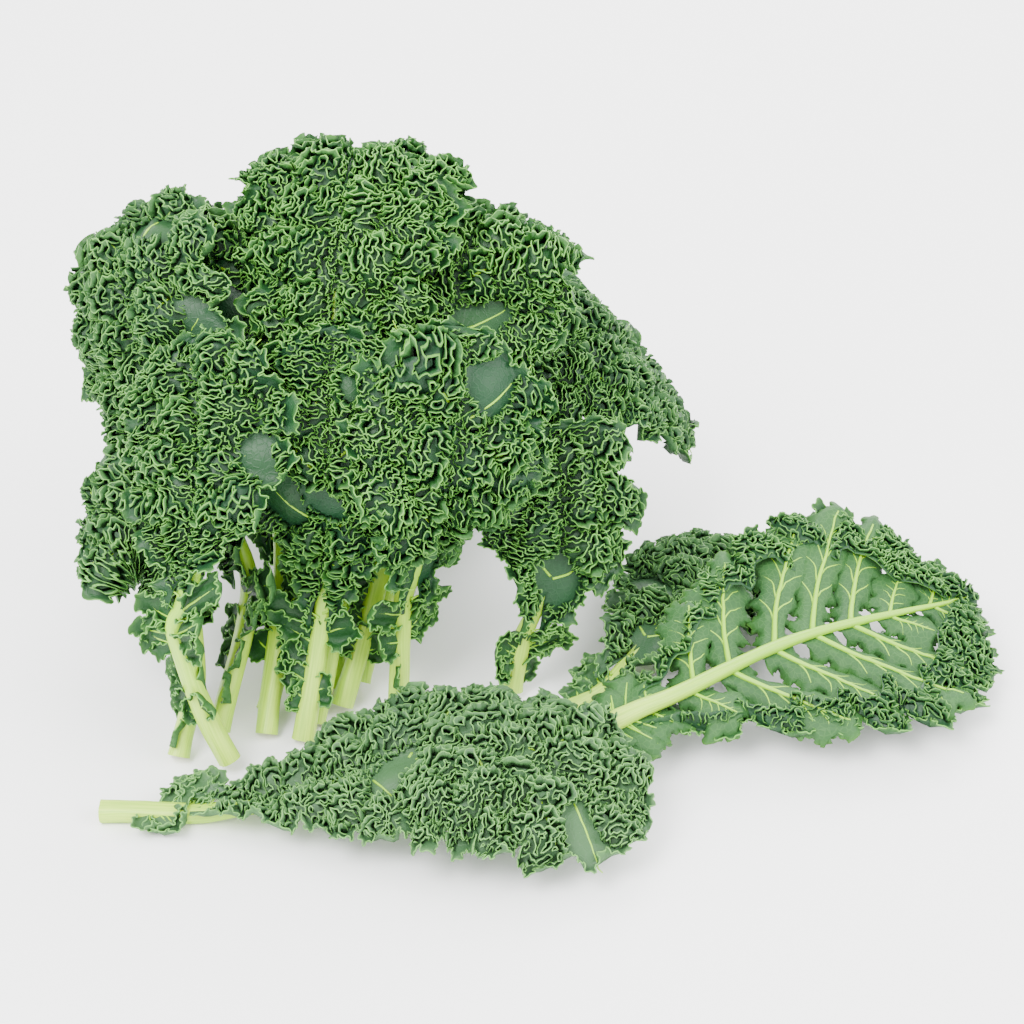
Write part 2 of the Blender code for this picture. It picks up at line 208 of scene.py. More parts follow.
# From the lowest leaf up.
LEAVES = (
    Leaf("back_middle", ((-130, -80, 8), (-112, -30, 80), (-100, 50, 185), (-85, 145, 170),
                         (-75, 212, 0)), 0.17, 0.30, 0.16, 0, "round", 0.35, 0.0, 0.05),
    Leaf("back_left", ((-175, -100, 8), (-155, -40, 80), (-175, 45, 180), (-205, 125, 160),
                       (-222, 180, 0)), 0.16, 0.30, 0.16, 0, "round", 0.35, 0.0, 0.05),
    Leaf("back_right", ((-95, -75, 8), (-70, -30, 85), (-10, 40, 170), (60, 105, 175),
                        (120, 160, 70)), 0.16, 0.28, 0.16, 10, "round", 0.02, 0.004, 0.15),
    Leaf("top_left", ((-172, -128, 8), (-156, -62, 105), (-168, -10, 215), (-182, 60, 285),
                      (-192, 125, 240)), 0.16, 0.28, 0.16, 10, "round", 0.55, 0.006, 0.0),
    Leaf("top_right", ((-108, -103, 8), (-83, -52, 105), (-50, 0, 215), (-25, 50, 285),
                       (-5, 115, 245)), 0.16, 0.28, 0.16, -10, "round", 0.72, 0.006, 0.0),
    Leaf("top_middle", ((-130, -120, 8), (-113, -55, 115), (-112, -10, 240), (-105, 60, 328),
                        (-92, 150, 262)), 0.16, 0.30, 0.16, 0, "round", 0.70, 0.0, 0.0),
    Leaf("left_high", ((-205, -122, 8), (-182, -68, 100), (-222, -35, 185), (-238, 20, 250),
                       (-222, 80, 265)), 0.15, 0.26, 0.14, 0, "round", 0.50, 0.004, 0.15),
    Leaf("left_low", ((-229, -150, 8), (-212, -105, 75), (-238, -82, 135), (-275, -50, 125)),
         0.12, 0.22, 0.12, 0, "round", 0.50, 0.006, 0.2),
    Leaf("right_side", ((5, -87, 8), (12, -78, 50), (30, -55, 100), (30, -32, 145),
                        (18, -10, 172)), 0.12, 0.20, 0.16, -40, "round", 0.40, 0.008, 0.1),
    Leaf("front_middle", ((-140, -138, 8), (-124, -92, 100), (-118, -95, 190), (-113, -45, 270)),
         0.13, 0.26, 0.14, 0, "round", 0.36, 0.005, 0.0),
    Leaf("front_left", ((-192, -166, 8), (-172, -105, 95), (-185, -88, 175), (-190, -40, 250)),
         0.13, 0.24, 0.14, 5, "round", 0.36, 0.007, 0.05),
    Leaf("front_right", ((-68, -100, 8), (-66, -85, 100), (-48, -95, 180), (-35, -45, 260)),
         0.14, 0.26, 0.14, -5, "round", 0.36, 0.009, 0.0),
    Leaf("floor_right", ((35, -108, 8), (68, -80, 18), (115, -15, 32), (175, 85, 12)),
         0.13, 0.14, 0.14, 0, "flat", 0.55, 0.0, 0.35),
    Leaf("turned_over", ((40, -170, 28), (110, -130, 40), (200, -75, 48), (325, -10, 35)),
         0.21, 0.13, -0.35, 16, "turned", 0.35, 0.0, 0.12),
    Leaf("front_flat", ((-263, -210, 8), (-170, -212, 12), (-30, -210, 55), (85, -250, 25)),
         0.15, 0.16, 0.11, 8, "flat", 0.95, 0.0, 0.55),
)


def path_lengths(along, aside):
    """How far along a path each of its points is."""
    return np.concatenate(([0.0], np.cumsum(np.hypot(np.diff(along), np.diff(aside)))))


def even(value):
    """An even rise from 0 to 1 as a value goes from 0 to 1."""
    value = np.clip(value, 0.0, 1.0)
    return value * value * (3.0 - 2.0 * value)


def read_profile(profile, position):
    for (x0, y0), (x1, y1) in zip(profile, profile[1:]):
        if position <= x1:
            return float(y0 + (y1 - y0) * even((position - x0) / (x1 - x0)))
    return profile[-1][1]


RUNS = np.linspace(0.0, 1.0, 101)
HALVES = np.array([read_profile(OUTLINE, run) for run in RUNS])


def curve_through(points):
    """Close points on a smooth curve through the given ones, with the length up to each."""
    points = [Vector([value / MILLIMETRES for value in point]) for point in points]
    ends = [2 * points[0] - points[1]] + points + [2 * points[-1] - points[-2]]
    dense = []
    for index in range(len(points) - 1):
        a, b, c, d = ends[index:index + 4]
        for step in range(SPLINE_SAMPLES):
            t = step / SPLINE_SAMPLES
            dense.append(0.5 * (2 * b + (c - a) * t + (2 * a - 5 * b + 4 * c - d) * t ** 2
                                + (3 * b - a - 3 * c + d) * t ** 3))
    dense.append(points[-1])
    reached = [0.0]
    for before, after in zip(dense, dense[1:]):
        reached.append(reached[-1] + (after - before).length)
    return dense, reached


def point_at(curve, share):
    dense, reached = curve
    goal = share * reached[-1]
    index = 1
    while index < len(reached) - 1 and reached[index] < goal:
        index += 1
    span = reached[index] - reached[index - 1]
    return dense[index - 1].lerp(dense[index], (goal - reached[index - 1]) / span)


def centre_of(point, lie):
    """The point that a leaf is laid away from: on the bunch's axis, or straight below."""
    if lie != "round":
        return Vector((point.x, point.y, -RAY_DEPTH / 2))
    axis = AXIS_HEART - AXIS_FOOT
    share = (point - AXIS_FOOT).dot(axis) / axis.length_squared
    return AXIS_FOOT + axis * min(max(share, 0.0), 1.0)


def leaf_shares(bare):
    """Positions along the leaf: the bare stem's, then the blade's from its start to its tip."""
    stem = [bare * index / PETIOLE_STATIONS for index in range(PETIOLE_STATIONS)]
    blade = [bare + (1.0 - bare) * index / BLADE_STATIONS for index in range(BLADE_STATIONS + 1)]
    return stem + blade


def blade_share(leaf, share):
    return max((share - leaf.bare) / (1.0 - leaf.bare), 0.0)


def half_width(leaf, share, side, lobes, phase):
    """Half width of the solid blade on one side, with the shallow lobes of its outline."""
    run = blade_share(leaf, share)
    notch = 0.5 + 0.5 * math.cos(math.tau * run * lobes + side * phase)
    return 0.5 * leaf.width * read_profile(OUTLINE, run) * (1.0 - 2.0 * SOLID_LOBE_DEPTH * notch)


def lay_out(leaf, phase):
    """The leaf's net of points before it is laid on the others."""
    curve = curve_through(leaf.points)
    lobes = round((1.0 - leaf.bare) * curve[1][-1] / SOLID_LOBE_PITCH)
    net = []
    for share in leaf_shares(leaf.bare):
        here = point_at(curve, share)
        along = point_at(curve, min(share + 0.01, 1.0)) - point_at(curve, max(share - 0.01, 0.0))
        along.normalize()
        out = (here - centre_of(here, leaf.lie)).normalized()
        out = (out - along * out.dot(along)).normalized()
        out.rotate(Quaternion(along, math.radians(leaf.twist)))
        across = along.cross(out)
        row = []
        for column in BLADE_COLUMNS:
            side = math.copysign(1.0, column)
            angle = half_width(leaf, share, side, lobes, phase) * column / leaf.bend
            row.append(here + across * leaf.bend * math.sin(angle)
                       - out * leaf.bend * (1.0 - math.cos(angle)))
        net.append(row)
    return net


def stem_radius(leaf, share):
    """Radius of the stem: nearly even up to the blade, then thinning to the tip."""
    if share < leaf.bare:
        return STEM_RADIUS * (1.0 - (1.0 - STEM_NECK_SHARE) * share / leaf.bare)
    thick = STEM_NECK_SHARE * STEM_RADIUS
    return STEM_TIP_RADIUS + (thick - STEM_TIP_RADIUS) * (1.0 - blade_share(leaf, share))


def around(net, i, j):
    """What a net has after and before a place, and to the right and left of it."""
    return (net[min(i + 1, len(net) - 1)][j], net[max(i - 1, 0)][j],
            net[i][min(j + 1, len(net[i]) - 1)], net[i][max(j - 1, 0)])


def net_normals(net):
    """Normals of the net, on the side that lies away from the heart."""
    normals = []
    for i in range(len(net)):
        sides = [around(net, i, j) for j in range(len(BLADE_COLUMNS))]
        normals.append([(right - left).cross(after - before).normalized()
                        for after, before, right, left in sides])
    return normals


def blade_room(leaf, column):
    """How far the blade's middle surface stays above what it lies on."""
    room = BLADE_THICKNESS + BLADE_GAP
    if leaf.lie == "turned":
        room += FRILL_ROOM * float(even(abs(column) / 0.5))
    return room


def push_needed(point, room, lie, tree):
    """How far a point has to move outwards to keep its room above the leaves under it."""
    centre = centre_of(point, lie)
    reach = (point - centre).length
    out = (point - centre) / reach
    most = 0.0
    if tree is not None:
        hit = tree.ray_cast(centre + out * (reach + RAY_START[lie]), -out, RAY_DEPTH)[0]
        if hit is not None:
            most = (hit - centre).length + room - reach
    if lie != "round":
        most = max(most, room - point.z)
    return max(most, 0.0)


def blade_needs(leaf, net, tree):
    """The push that each point of the net needs, from samples in the cells round it."""
    need = [[0.0] * len(BLADE_COLUMNS) for _ in net]
    for i in range(len(net) - 1):
        for j in range(len(BLADE_COLUMNS) - 1):
            most = 0.0
            for a in range(DENSE):
                for b in range(DENSE):
                    t = (b + 0.5) / DENSE
                    low = net[i][j].lerp(net[i][j + 1], t)
                    high = net[i + 1][j].lerp(net[i + 1][j + 1], t)
                    column = BLADE_COLUMNS[j] * (1.0 - t) + BLADE_COLUMNS[j + 1] * t
                    point = low.lerp(high, (a + 0.5) / DENSE)
                    most = max(most, push_needed(point, blade_room(leaf, column), leaf.lie, tree))
            for p, q in ((i, j), (i, j + 1), (i + 1, j), (i + 1, j + 1)):
                need[p][q] = max(need[p][q], most)
    return need


def edge_dip(net, normals, i):
    """How steeply the blade falls away on either side of its midrib."""
    dips = [0.0]
    for side in (MIDDLE - 1, MIDDLE + 1):
        step = net[i][side] - net[i][MIDDLE]
        dips.append(-step.dot(normals[i][MIDDLE]) / step.length)
    return max(dips)


def stem_depth(leaf, net, normals, i, radius):
    """How far the solid stem's middle line lies under the blade's middle surface."""
    dip = 0.0
    if leaf.lie != "turned":
        dip = max(edge_dip(net, normals, k) for k in (i, min(i + 1, len(net) - 1)))
    return radius * (1.0 + dip) + BLADE_THICKNESS + BLADE_GAP


def add_stem_needs(leaf, net, need, tree):
    """Raise the middle of the net where the stem under it would touch something."""
    if leaf.lie == "turned":
        return
    normals = net_normals(net)
    shares = leaf_shares(leaf.bare)
    for i in range(len(net) - 1):
        for step in range(STEM_STEPS):
            t = step / STEM_STEPS
            radius = stem_radius(leaf, shares[i] * (1.0 - t) + shares[i + 1] * t)
            up = normals[i][MIDDLE].lerp(normals[i + 1][MIDDLE], t)
            aside = (net[i][MIDDLE + 1] - net[i][MIDDLE - 1]).normalized()
            middle = net[i][MIDDLE].lerp(net[i + 1][MIDDLE], t)
            middle = middle - up * stem_depth(leaf, net, normals, i, radius)
            push = 0.0
            for turn in STEM_TURNS:
                skin = aside * math.sin(turn) - up * math.cos(turn)
                push = max(push, push_needed(middle + skin * radius, BLADE_GAP, leaf.lie, tree))
            for p in (max(i - 1, 0), i, i + 1):
                for j in (MIDDLE - 1, MIDDLE, MIDDLE + 1):
                    need[p][j] = max(need[p][j], push)


def even_where_narrow(net, need):
    """Push the whole width alike where the leaf is narrow."""
    return [[max(row)] * len(row) if (points[-1] - points[0]).length < 2.0 * NARROW else row
            for points, row in zip(net, need)]


def smooth_push(need):
    """Even out the pushes without letting any fall below what is needed. The stiff midrib
    bridges the dips between the points that it rests on, and the cut end stays in place."""
    push = [row[:] for row in need]
    for _ in range(SMOOTHING_PASSES):
        before = [row[:] for row in push]
        for i in range(1, len(need)):
            for j in range(len(BLADE_COLUMNS)):
                beside = around(before, i, j)
                value = 0.5 * before[i][j] + 0.125 * sum(beside)
                if j == MIDDLE:
                    value = max(value, 0.5 * (beside[0] + beside[1]))
                push[i][j] = max(need[i][j], value)
    return push


def lay_on(leaf, net, tree):
    """Push the net outwards until it clears the table and the leaves already there."""
    for _ in range(LAYING_PASSES):
        need = blade_needs(leaf, net, tree)
        add_stem_needs(leaf, net, need, tree)
        push = smooth_push(even_where_narrow(net, need))
        for i in range(len(net)):
            for j in range(len(BLADE_COLUMNS)):
                out = (net[i][j] - centre_of(net[i][j], leaf.lie)).normalized()
                point = net[i][j] + out * push[i][j]
                net[i][j] = Vector((point.x, point.y, max(point.z, BLADE_THICKNESS)))


def solids_tree(leaves):
    """A search tree of the solids of some leaves."""
    points = []
    faces = []
    for leaf in leaves:
        for part in ("leaf", "stem"):
            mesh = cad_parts[f"{part}_{leaf.name}"].data
            start = len(points)
            points += [vertex.co - CENTRE_SHIFT for vertex in mesh.vertices]
            faces += [[start + index for index in face.vertices] for face in mesh.polygons]
    return BVHTree.FromPolygons(points, faces) if points else None


class Laid(NamedTuple):
    """A leaf as it lies: its net and normals, the distances along and across the net, and how
    thick its stem is and how far it lies under the net."""
    leaf: Leaf
    net: np.ndarray
    normals: np.ndarray
    along: np.ndarray
    left: np.ndarray
    right: np.ndarray
    radius: np.ndarray
    depth: np.ndarray

    @property
    def facing(self):
        """Which way the upper side of the blade faces: 1 outwards, -1 inwards."""
        return -1.0 if self.leaf.lie == "turned" else 1.0

    def drop(self, along):
        """How far the leaflets on the bare stem sit below the net."""
        below = np.interp(along, self.along, self.depth - 0.5 * self.radius)
        return even((0.020 - along) / 0.030) * below


def laid_leaves():
    """Every leaf of the bunch, laid on the ones under it as its solid is."""
    found = []
    for number, leaf in enumerate(LEAVES):
        phase = random.Random(SEED + number).uniform(0.0, math.tau)
        points = lay_out(leaf, phase)
        lay_on(leaf, points, solids_tree(LEAVES[:number]))
        normals = net_normals(points)
        net = np.array(points) + np.array(CENTRE_SHIFT)
        steps = np.linalg.norm(np.diff(net[:, MIDDLE], axis=0), axis=1)
        along = np.concatenate(([0.0], np.cumsum(steps)))
        across = np.linalg.norm(np.diff(net, axis=1), axis=2)
        radius = [stem_radius(leaf, share) for share in leaf_shares(leaf.bare)]
        depth = [stem_depth(leaf, points, normals, place, size)
                 for place, size in enumerate(radius)]
        found.append(Laid(leaf, net, np.array(normals), along - along[PETIOLE_STATIONS],
                          across[:, :MIDDLE].sum(axis=1), across[:, MIDDLE:].sum(axis=1),
                          np.array(radius), np.array(depth)))
    return tuple(found)


def unit(vectors, tiny=0.0):
    """Vectors in rows, made one long."""
    return vectors / (np.linalg.norm(vectors, axis=1)[:, None] + tiny)


def curve_weights(position, count):
    """The four grid places round each position, and their weights on a smooth curve."""
    index = np.clip(np.floor(position).astype(int), 0, count - 2)
    t = position - index
    weights = np.stack((-0.5 * t + t ** 2 - 0.5 * t ** 3, 1.0 - 2.5 * t ** 2 + 1.5 * t ** 3,
                        0.5 * t + 2.0 * t ** 2 - 1.5 * t ** 3, -0.5 * t ** 2 + 0.5 * t ** 3), -1)
    return np.clip(index[:, None] + np.arange(-1, 3), 0, count - 1), weights


def read_grid(grid, rows, columns):
    """Values of a grid between its points, on smooth curves through them."""
    row_picks, row_weights = curve_weights(rows, grid.shape[0])
    column_picks, column_weights = curve_weights(columns, grid.shape[1])
    corners = grid[row_picks[:, :, None], column_picks[:, None, :]]
    return np.einsum("ni,nj,nijk->nk", row_weights, column_weights, corners)


def on_leaf(laid, along, aside, lift):
    """Points at distances along the blade and aside of its midrib, lifted off its surface."""
    rows = np.interp(along, laid.along, np.arange(len(laid.along)))
    half = np.where(aside < 0.0, np.interp(along, laid.along, laid.left),
                    np.interp(along, laid.along, laid.right))
    inside = np.clip(aside / half, -1.0, 1.0)
    columns = np.interp(inside, BLADE_COLUMNS, np.arange(len(BLADE_COLUMNS)))
    places = read_grid(laid.net, rows, columns)
    ups = unit(read_grid(laid.normals, rows, columns))
    inward = np.clip(columns - np.sign(inside) * 0.5, 0, len(BLADE_COLUMNS) - 1)
    across = unit(places - read_grid(laid.net, rows, inward), TINY)
    forward = unit(places - read_grid(laid.net, rows - 0.5, columns), TINY)
    beyond = np.abs(aside) - half * np.abs(inside)
    past = along - np.clip(along, laid.along[0], laid.along[-1])
    return places + across * beyond[:, None] + forward * past[:, None] + ups * lift[:, None]


def wander(rng, length, pitch, samples):
    """A smooth random wave from -1 to 1 along a length."""
    knots = rng.uniform(-1.0, 1.0, max(int(length / pitch) + 3, 4))
    place = np.linspace(0.0, len(knots) - 1.001, samples)
    index = place.astype(int)
    t = even(place - index)
    return knots[index] * (1.0 - t) + knots[np.minimum(index + 1, len(knots) - 1)] * t


def bessel(turn):
    """How far a curve that swings by this angle gets, as a share of its own length."""
    swing = np.sin(np.linspace(0.0, math.tau, 400, endpoint=False))
    return float(np.mean(np.cos(turn * swing)))


def meander(distance, waves, shares):
    """Offsets along and out of a margin that make its rim swing from side to side."""
    swings = [turn * share for turn, share in zip((FOLD_TURN, CURL_TURN, CRIMP_TURN), shares)]
    turn = sum(swing * np.sin(wave) for swing, wave in zip(swings, waves))
    gain = math.prod(bessel(swing) for swing in swings)
    step = np.gradient(distance)
    forward = np.cumsum((np.cos(turn) / gain - 1.0) * step)
    out = np.cumsum(np.sin(turn) / gain * step)
    places = np.linspace(0.0, 1.0, len(distance))
    forward -= np.polyval(np.polyfit(places, forward, 3), places)
    out -= np.polyval(np.polyfit(places, out, 3), places)
    return forward, out


class Puffs(NamedTuple):
    """The puffs of a blade: their middles on the flat leaf, how high and how bright each is,
    and which of them are smooth."""
    along: np.ndarray
    aside: np.ndarray
    height: np.ndarray
    tone: np.ndarray
    smooth: np.ndarray


def scatter_puffs(laid, blades, rng):
    pitch = blades.puff_pitch
    width = 0.5 * laid.leaf.width + pitch
    alongs = np.arange(-0.5 * pitch, laid.along[-1] + pitch, 0.87 * pitch)
    asides = np.arange(-width, width, pitch)
    along, aside = (values.ravel() for values in np.meshgrid(alongs, asides, indexing="ij"))
    shifted = np.tile(np.arange(len(alongs))[:, None] % 2, (1, len(asides))).ravel()
    aside = aside + 0.5 * pitch * shifted
    along = along + rng.uniform(-0.30, 0.30, len(along)) * pitch
    aside = aside + rng.uniform(-0.30, 0.30, len(along)) * pitch
    smooth = rng.random(len(along)) < blades.smooth_share
    height = np.where(smooth, SMOOTH_HEIGHT, rng.uniform(0.55, 1.0, len(along)))
    return Puffs(along, aside, height, rng.uniform(-0.55, 0.45, len(along)), smooth)


class Blade:
    """A blade drawn flat: its outline, its puffs, and the room above each of its points."""

    def __init__(self, laid, blades, number, rng):
        self.laid = laid
        self.blades = blades
        self.length = laid.along[-1]
        self.open = laid.leaf.lie == "turned"
        self.tone = laid.leaf.tone
        self.puffs = scatter_puffs(laid, blades, rng)
        self.phase = rng.uniform(0.0, math.pi, 2)
        self.find_room(solids_tree(LEAVES[number + 1:]))

    def place(self, along, aside, lift):
        points = on_leaf(self.laid, along, aside, lift)
        points[:, 2] = np.maximum(points[:, 2], FLOOR_HEIGHT)
        return points

    def edge(self, along, aside):
        """How far the blade reaches from its midrib."""
        run = np.clip(along / self.length, 0.0, 1.0)
        half = 0.5 * self.laid.leaf.width * np.interp(run, RUNS, HALVES)
        phase = np.where(aside < 0.0, *self.phase)
        notch = np.abs(np.cos(math.pi * along / self.blades.notch_pitch + phase))
        notch = NOTCH_DEPTH * notch ** NOTCH_SHARPNESS * even(run / 0.25)
        past = np.clip(run - TIP_START, 0.0, 1.0) / TIP_SHARE
        tip = np.sqrt(np.clip(1.0 - past ** 2, 0.002, 1.0))
        return self.blades.reach * half * tip * (1.0 - notch)

    def inner(self, along):
        """Where the curly part starts, as a share of the way to the edge. At its foot a blade
        leaves its midrib free."""
        if not self.open:
            edge = self.edge(along, np.zeros(1))
            free = np.clip(0.85 * self.laid.radius[0] / edge, 0.0, 0.85)
            return free * (1.0 - even((along - 0.008) / 0.030))
        run = along / self.length
        return self.blades.open_share * (1.0 - even((run - 0.66) / 0.32))

    def find_room(self, tree):
        half = 0.5 * self.laid.leaf.width
        self.room_rows = np.arange(0.0, self.length + ROOM_STEP, ROOM_STEP)
        self.room_columns = np.arange(-half, half + ROOM_STEP, ROOM_STEP)
        along, aside = np.meshgrid(self.room_rows, self.room_columns, indexing="ij")
        starts, ends = (on_leaf(self.laid, along.ravel(), aside.ravel(),
                                np.full(along.size, lift)) - np.array(CENTRE_SHIFT)
                        for lift in (ROOM_LIFT, ROOM_LIFT + ROOM_AIM))
        room = np.full(along.size, MOST_ROOM)
        for index, (start, up) in enumerate(zip(starts, (ends - starts) / ROOM_AIM)):
            hit = tree.ray_cast(Vector(start), Vector(up), MOST_ROOM)[3] if tree else None
            if hit is not None:
                room[index] = hit
        wide = np.pad(room.reshape(along.shape), 1, "edge")
        near = [wide[i:wide.shape[0] - 2 + i, j:wide.shape[1] - 2 + j]
                for i in range(3) for j in range(3)]
        self.room_grid = np.min(near, axis=0)

    def room(self, along, aside):
        """How far a point can stand off the blade before it meets a leaf above."""
        rows = np.clip(along / ROOM_STEP, 0.0, len(self.room_rows) - 1.001)
        columns = np.clip((aside - self.room_columns[0]) / ROOM_STEP, 0.0,
                          len(self.room_columns) - 1.001)
        i, j = rows.astype(int), columns.astype(int)
        t, u = rows - i, columns - j
        grid = self.room_grid
        low = grid[i, j] * (1.0 - u) + grid[i, j + 1] * u
        high = grid[i + 1, j] * (1.0 - u) + grid[i + 1, j + 1] * u
        return low * (1.0 - t) + high * t - CLEARANCE

    def shape(self, along, aside):
        """How high the blade stands at each point, how smooth it is there, and its tone, darkened
        as painted shade in the creases between the puffs.
        """
        puffs = self.puffs
        here = along + PUFF_WARP * np.sin(aside / 0.0090 + self.phase[0] + 60.0 * along)
        beside = aside + PUFF_WARP * np.sin(along / 0.0085 + self.phase[1])
        away = np.hypot(here[:, None] - puffs.along, beside[:, None] - puffs.aside)
        picks = np.argpartition(away, 1, axis=1)[:, :2]
        near = np.sort(np.take_along_axis(away, picks, 1), axis=1)
        first = np.argmin(away, axis=1)
        dome = 1.0 - (2.0 * near[:, 0] / (near[:, 0] + near[:, 1])) ** PUFF_SHARPNESS
        # Each puff's own tone, less painted shade in the creases where the puffs meet.
        tone = np.clip(self.tone + puffs.tone[first] * dome - 0.4 * (1.0 - dome), 0.0, 1.0)
        if self.open:
            share = np.abs(aside) / self.edge(along, aside)
            start = self.inner(along)
            roll = np.clip((share - start) / (1.0 - start), 0.0, 1.0)
            height = 0.006 * dome - self.blades.roll * roll ** 2
            return height, np.zeros_like(dome), tone
        ends = even(along / 0.03)
        height = self.blades.puff_height * puffs.height[first] * dome * ends
        height = height * even((np.abs(aside) - 0.001) / 0.012)
        height = height + self.laid.leaf.tip_lift * even((along / self.length - 0.5) / 0.5)
        height = np.clip(np.minimum(height, self.room(along, aside)), 0.0, None)
        smooth = puffs.smooth[first] * even((dome - 0.22) / 0.3)
        return height, smooth, tone

    def slope(self, along, aside):
        """How steeply the blade rises along and across."""
        step = 0.0015
        rise = [(self.shape(along + i * step, aside + j * step)[0]
                 - self.shape(along - i * step, aside - j * step)[0]) / (2.0 * step)
                for i, j in ((1, 0), (0, 1))]
        steep = np.maximum(np.hypot(*rise), 1e-6)
        return [part * np.minimum(1.0, 1.0 / steep) for part in rise]

    def curl_share(self, along, aside):
        """How much of their full height the curls have."""
        edge = self.edge(along, aside)
        inside = even((edge - np.abs(aside)) / 0.004) * even(along / 0.012)
        inside = inside * even((self.length - 0.002 - along) / 0.004)
        if self.open:
            return inside * even((np.abs(aside) / edge - self.inner(along)) / 0.06 + 0.3)
        inside = inside * even((np.abs(aside) - self.inner(along) * edge) / 0.003 + 0.3)
        height, smooth, _ = self.shape(along, aside)
        return inside * (1.0 - smooth) * even((self.room(along, aside) - height) / 0.006)


def labyrinth(rng, rows, columns, pitch):
    """A random field on a grid that crosses zero along closely packed winding lines."""
    turns = rng.uniform(0.0, math.tau, CURL_WAVES)
    tight = math.tau / pitch * rng.uniform(0.70, 1.30, CURL_WAVES)
    phases = rng.uniform(0.0, math.tau, CURL_WAVES)
    down = np.exp(1j * (np.outer(rows, tight * np.cos(turns)) + phases))
    across = np.exp(1j * np.outer(tight * np.sin(turns), columns))
    return (down @ across).real


def zero_links(field):
    """Where the lines of zero cross the edges of a grid, and which crossings they join."""
    above = field > 0.0
    flat = above[:, :-1] != above[:, 1:]
    steep = above[:-1] != above[1:]
    flat_count = int(flat.sum())
    flat_ids = np.full(flat.shape, -1)
    flat_ids[flat] = np.arange(flat_count)
    steep_ids = np.full(steep.shape, -1)
    steep_ids[steep] = flat_count + np.arange(int(steep.sum()))
    i, j = np.nonzero(flat)
    flat_points = np.stack((i, j + field[i, j] / (field[i, j] - field[i, j + 1])), axis=1)
    i, j = np.nonzero(steep)
    steep_points = np.stack((i + field[i, j] / (field[i, j] - field[i + 1, j]), j), axis=1)
    sides = np.stack((flat_ids[:-1], steep_ids[:, 1:], flat_ids[1:], steep_ids[:, :-1]), axis=2)
    sides = sides.reshape(-1, 4)
    crossings = (sides >= 0).sum(axis=1)
    pairs = np.sort(sides[crossings == 2], axis=1)[:, 2:]
    saddles = sides[crossings == 4]
    pairs = np.concatenate((pairs, saddles[:, :2], saddles[:, 2:]))
    return np.concatenate((flat_points, steep_points)), pairs


def zero_lines(field):
    """The lines along which a grid of values is zero, and whether each is closed."""
    points, pairs = zero_links(field)
    joined = [[] for _ in points]
    for first, second in pairs:
        joined[first].append(second)
        joined[second].append(first)
    left = set(range(len(points)))
    starts = [index for index, others in enumerate(joined) if len(others) == 1]
    lines = []
    for start in starts + list(range(len(points))):
        if start not in left:
            continue
        chain = [start]
        left.discard(start)
        while True:
            following = [other for other in joined[chain[-1]] if other in left]
            if not following:
                break
            chain.append(following[0])
            left.discard(following[0])
        closed = len(chain) > 3 and chain[0] in joined[chain[-1]]
        lines.append((points[chain + chain[:1] if closed else chain], closed))
    return lines


def kept_parts(line, closed, kept):
    """The parts of a line whose points are kept."""
    if kept.all():
        return [(line, closed)]
    if closed:
        turn = int(np.argmin(kept))
        line = np.concatenate((line[turn:-1], line[:turn + 1]))
        kept = np.concatenate((kept[turn:-1], kept[:turn + 1]))
    changes = np.flatnonzero(np.diff(np.concatenate(([0], kept.astype(int), [0]))))
    return [(line[a:b], False) for a, b in zip(changes[::2], changes[1::2]) if b - a > 3]


def soften(values, width, closed):
    """Values along a line, evened out over a width in points."""
    if width < 0.3:
        return values
    reach = int(3.0 * width) + 1
    kernel = np.exp(-0.5 * (np.arange(-reach, reach + 1) / width) ** 2)
    kernel /= kernel.sum()
    if closed:
        around = np.concatenate([values[:-1]] * (2 * (reach // (len(values) - 1) + 1) + 1))
        whole = np.convolve(around, kernel, "same")
        start = (len(around) - (len(values) - 1)) // 2
        start -= start % (len(values) - 1)
        part = whole[start:start + len(values) - 1]
        return np.append(part, part[0])
    return np.convolve(np.pad(values, reach, "edge"), kernel, "valid")


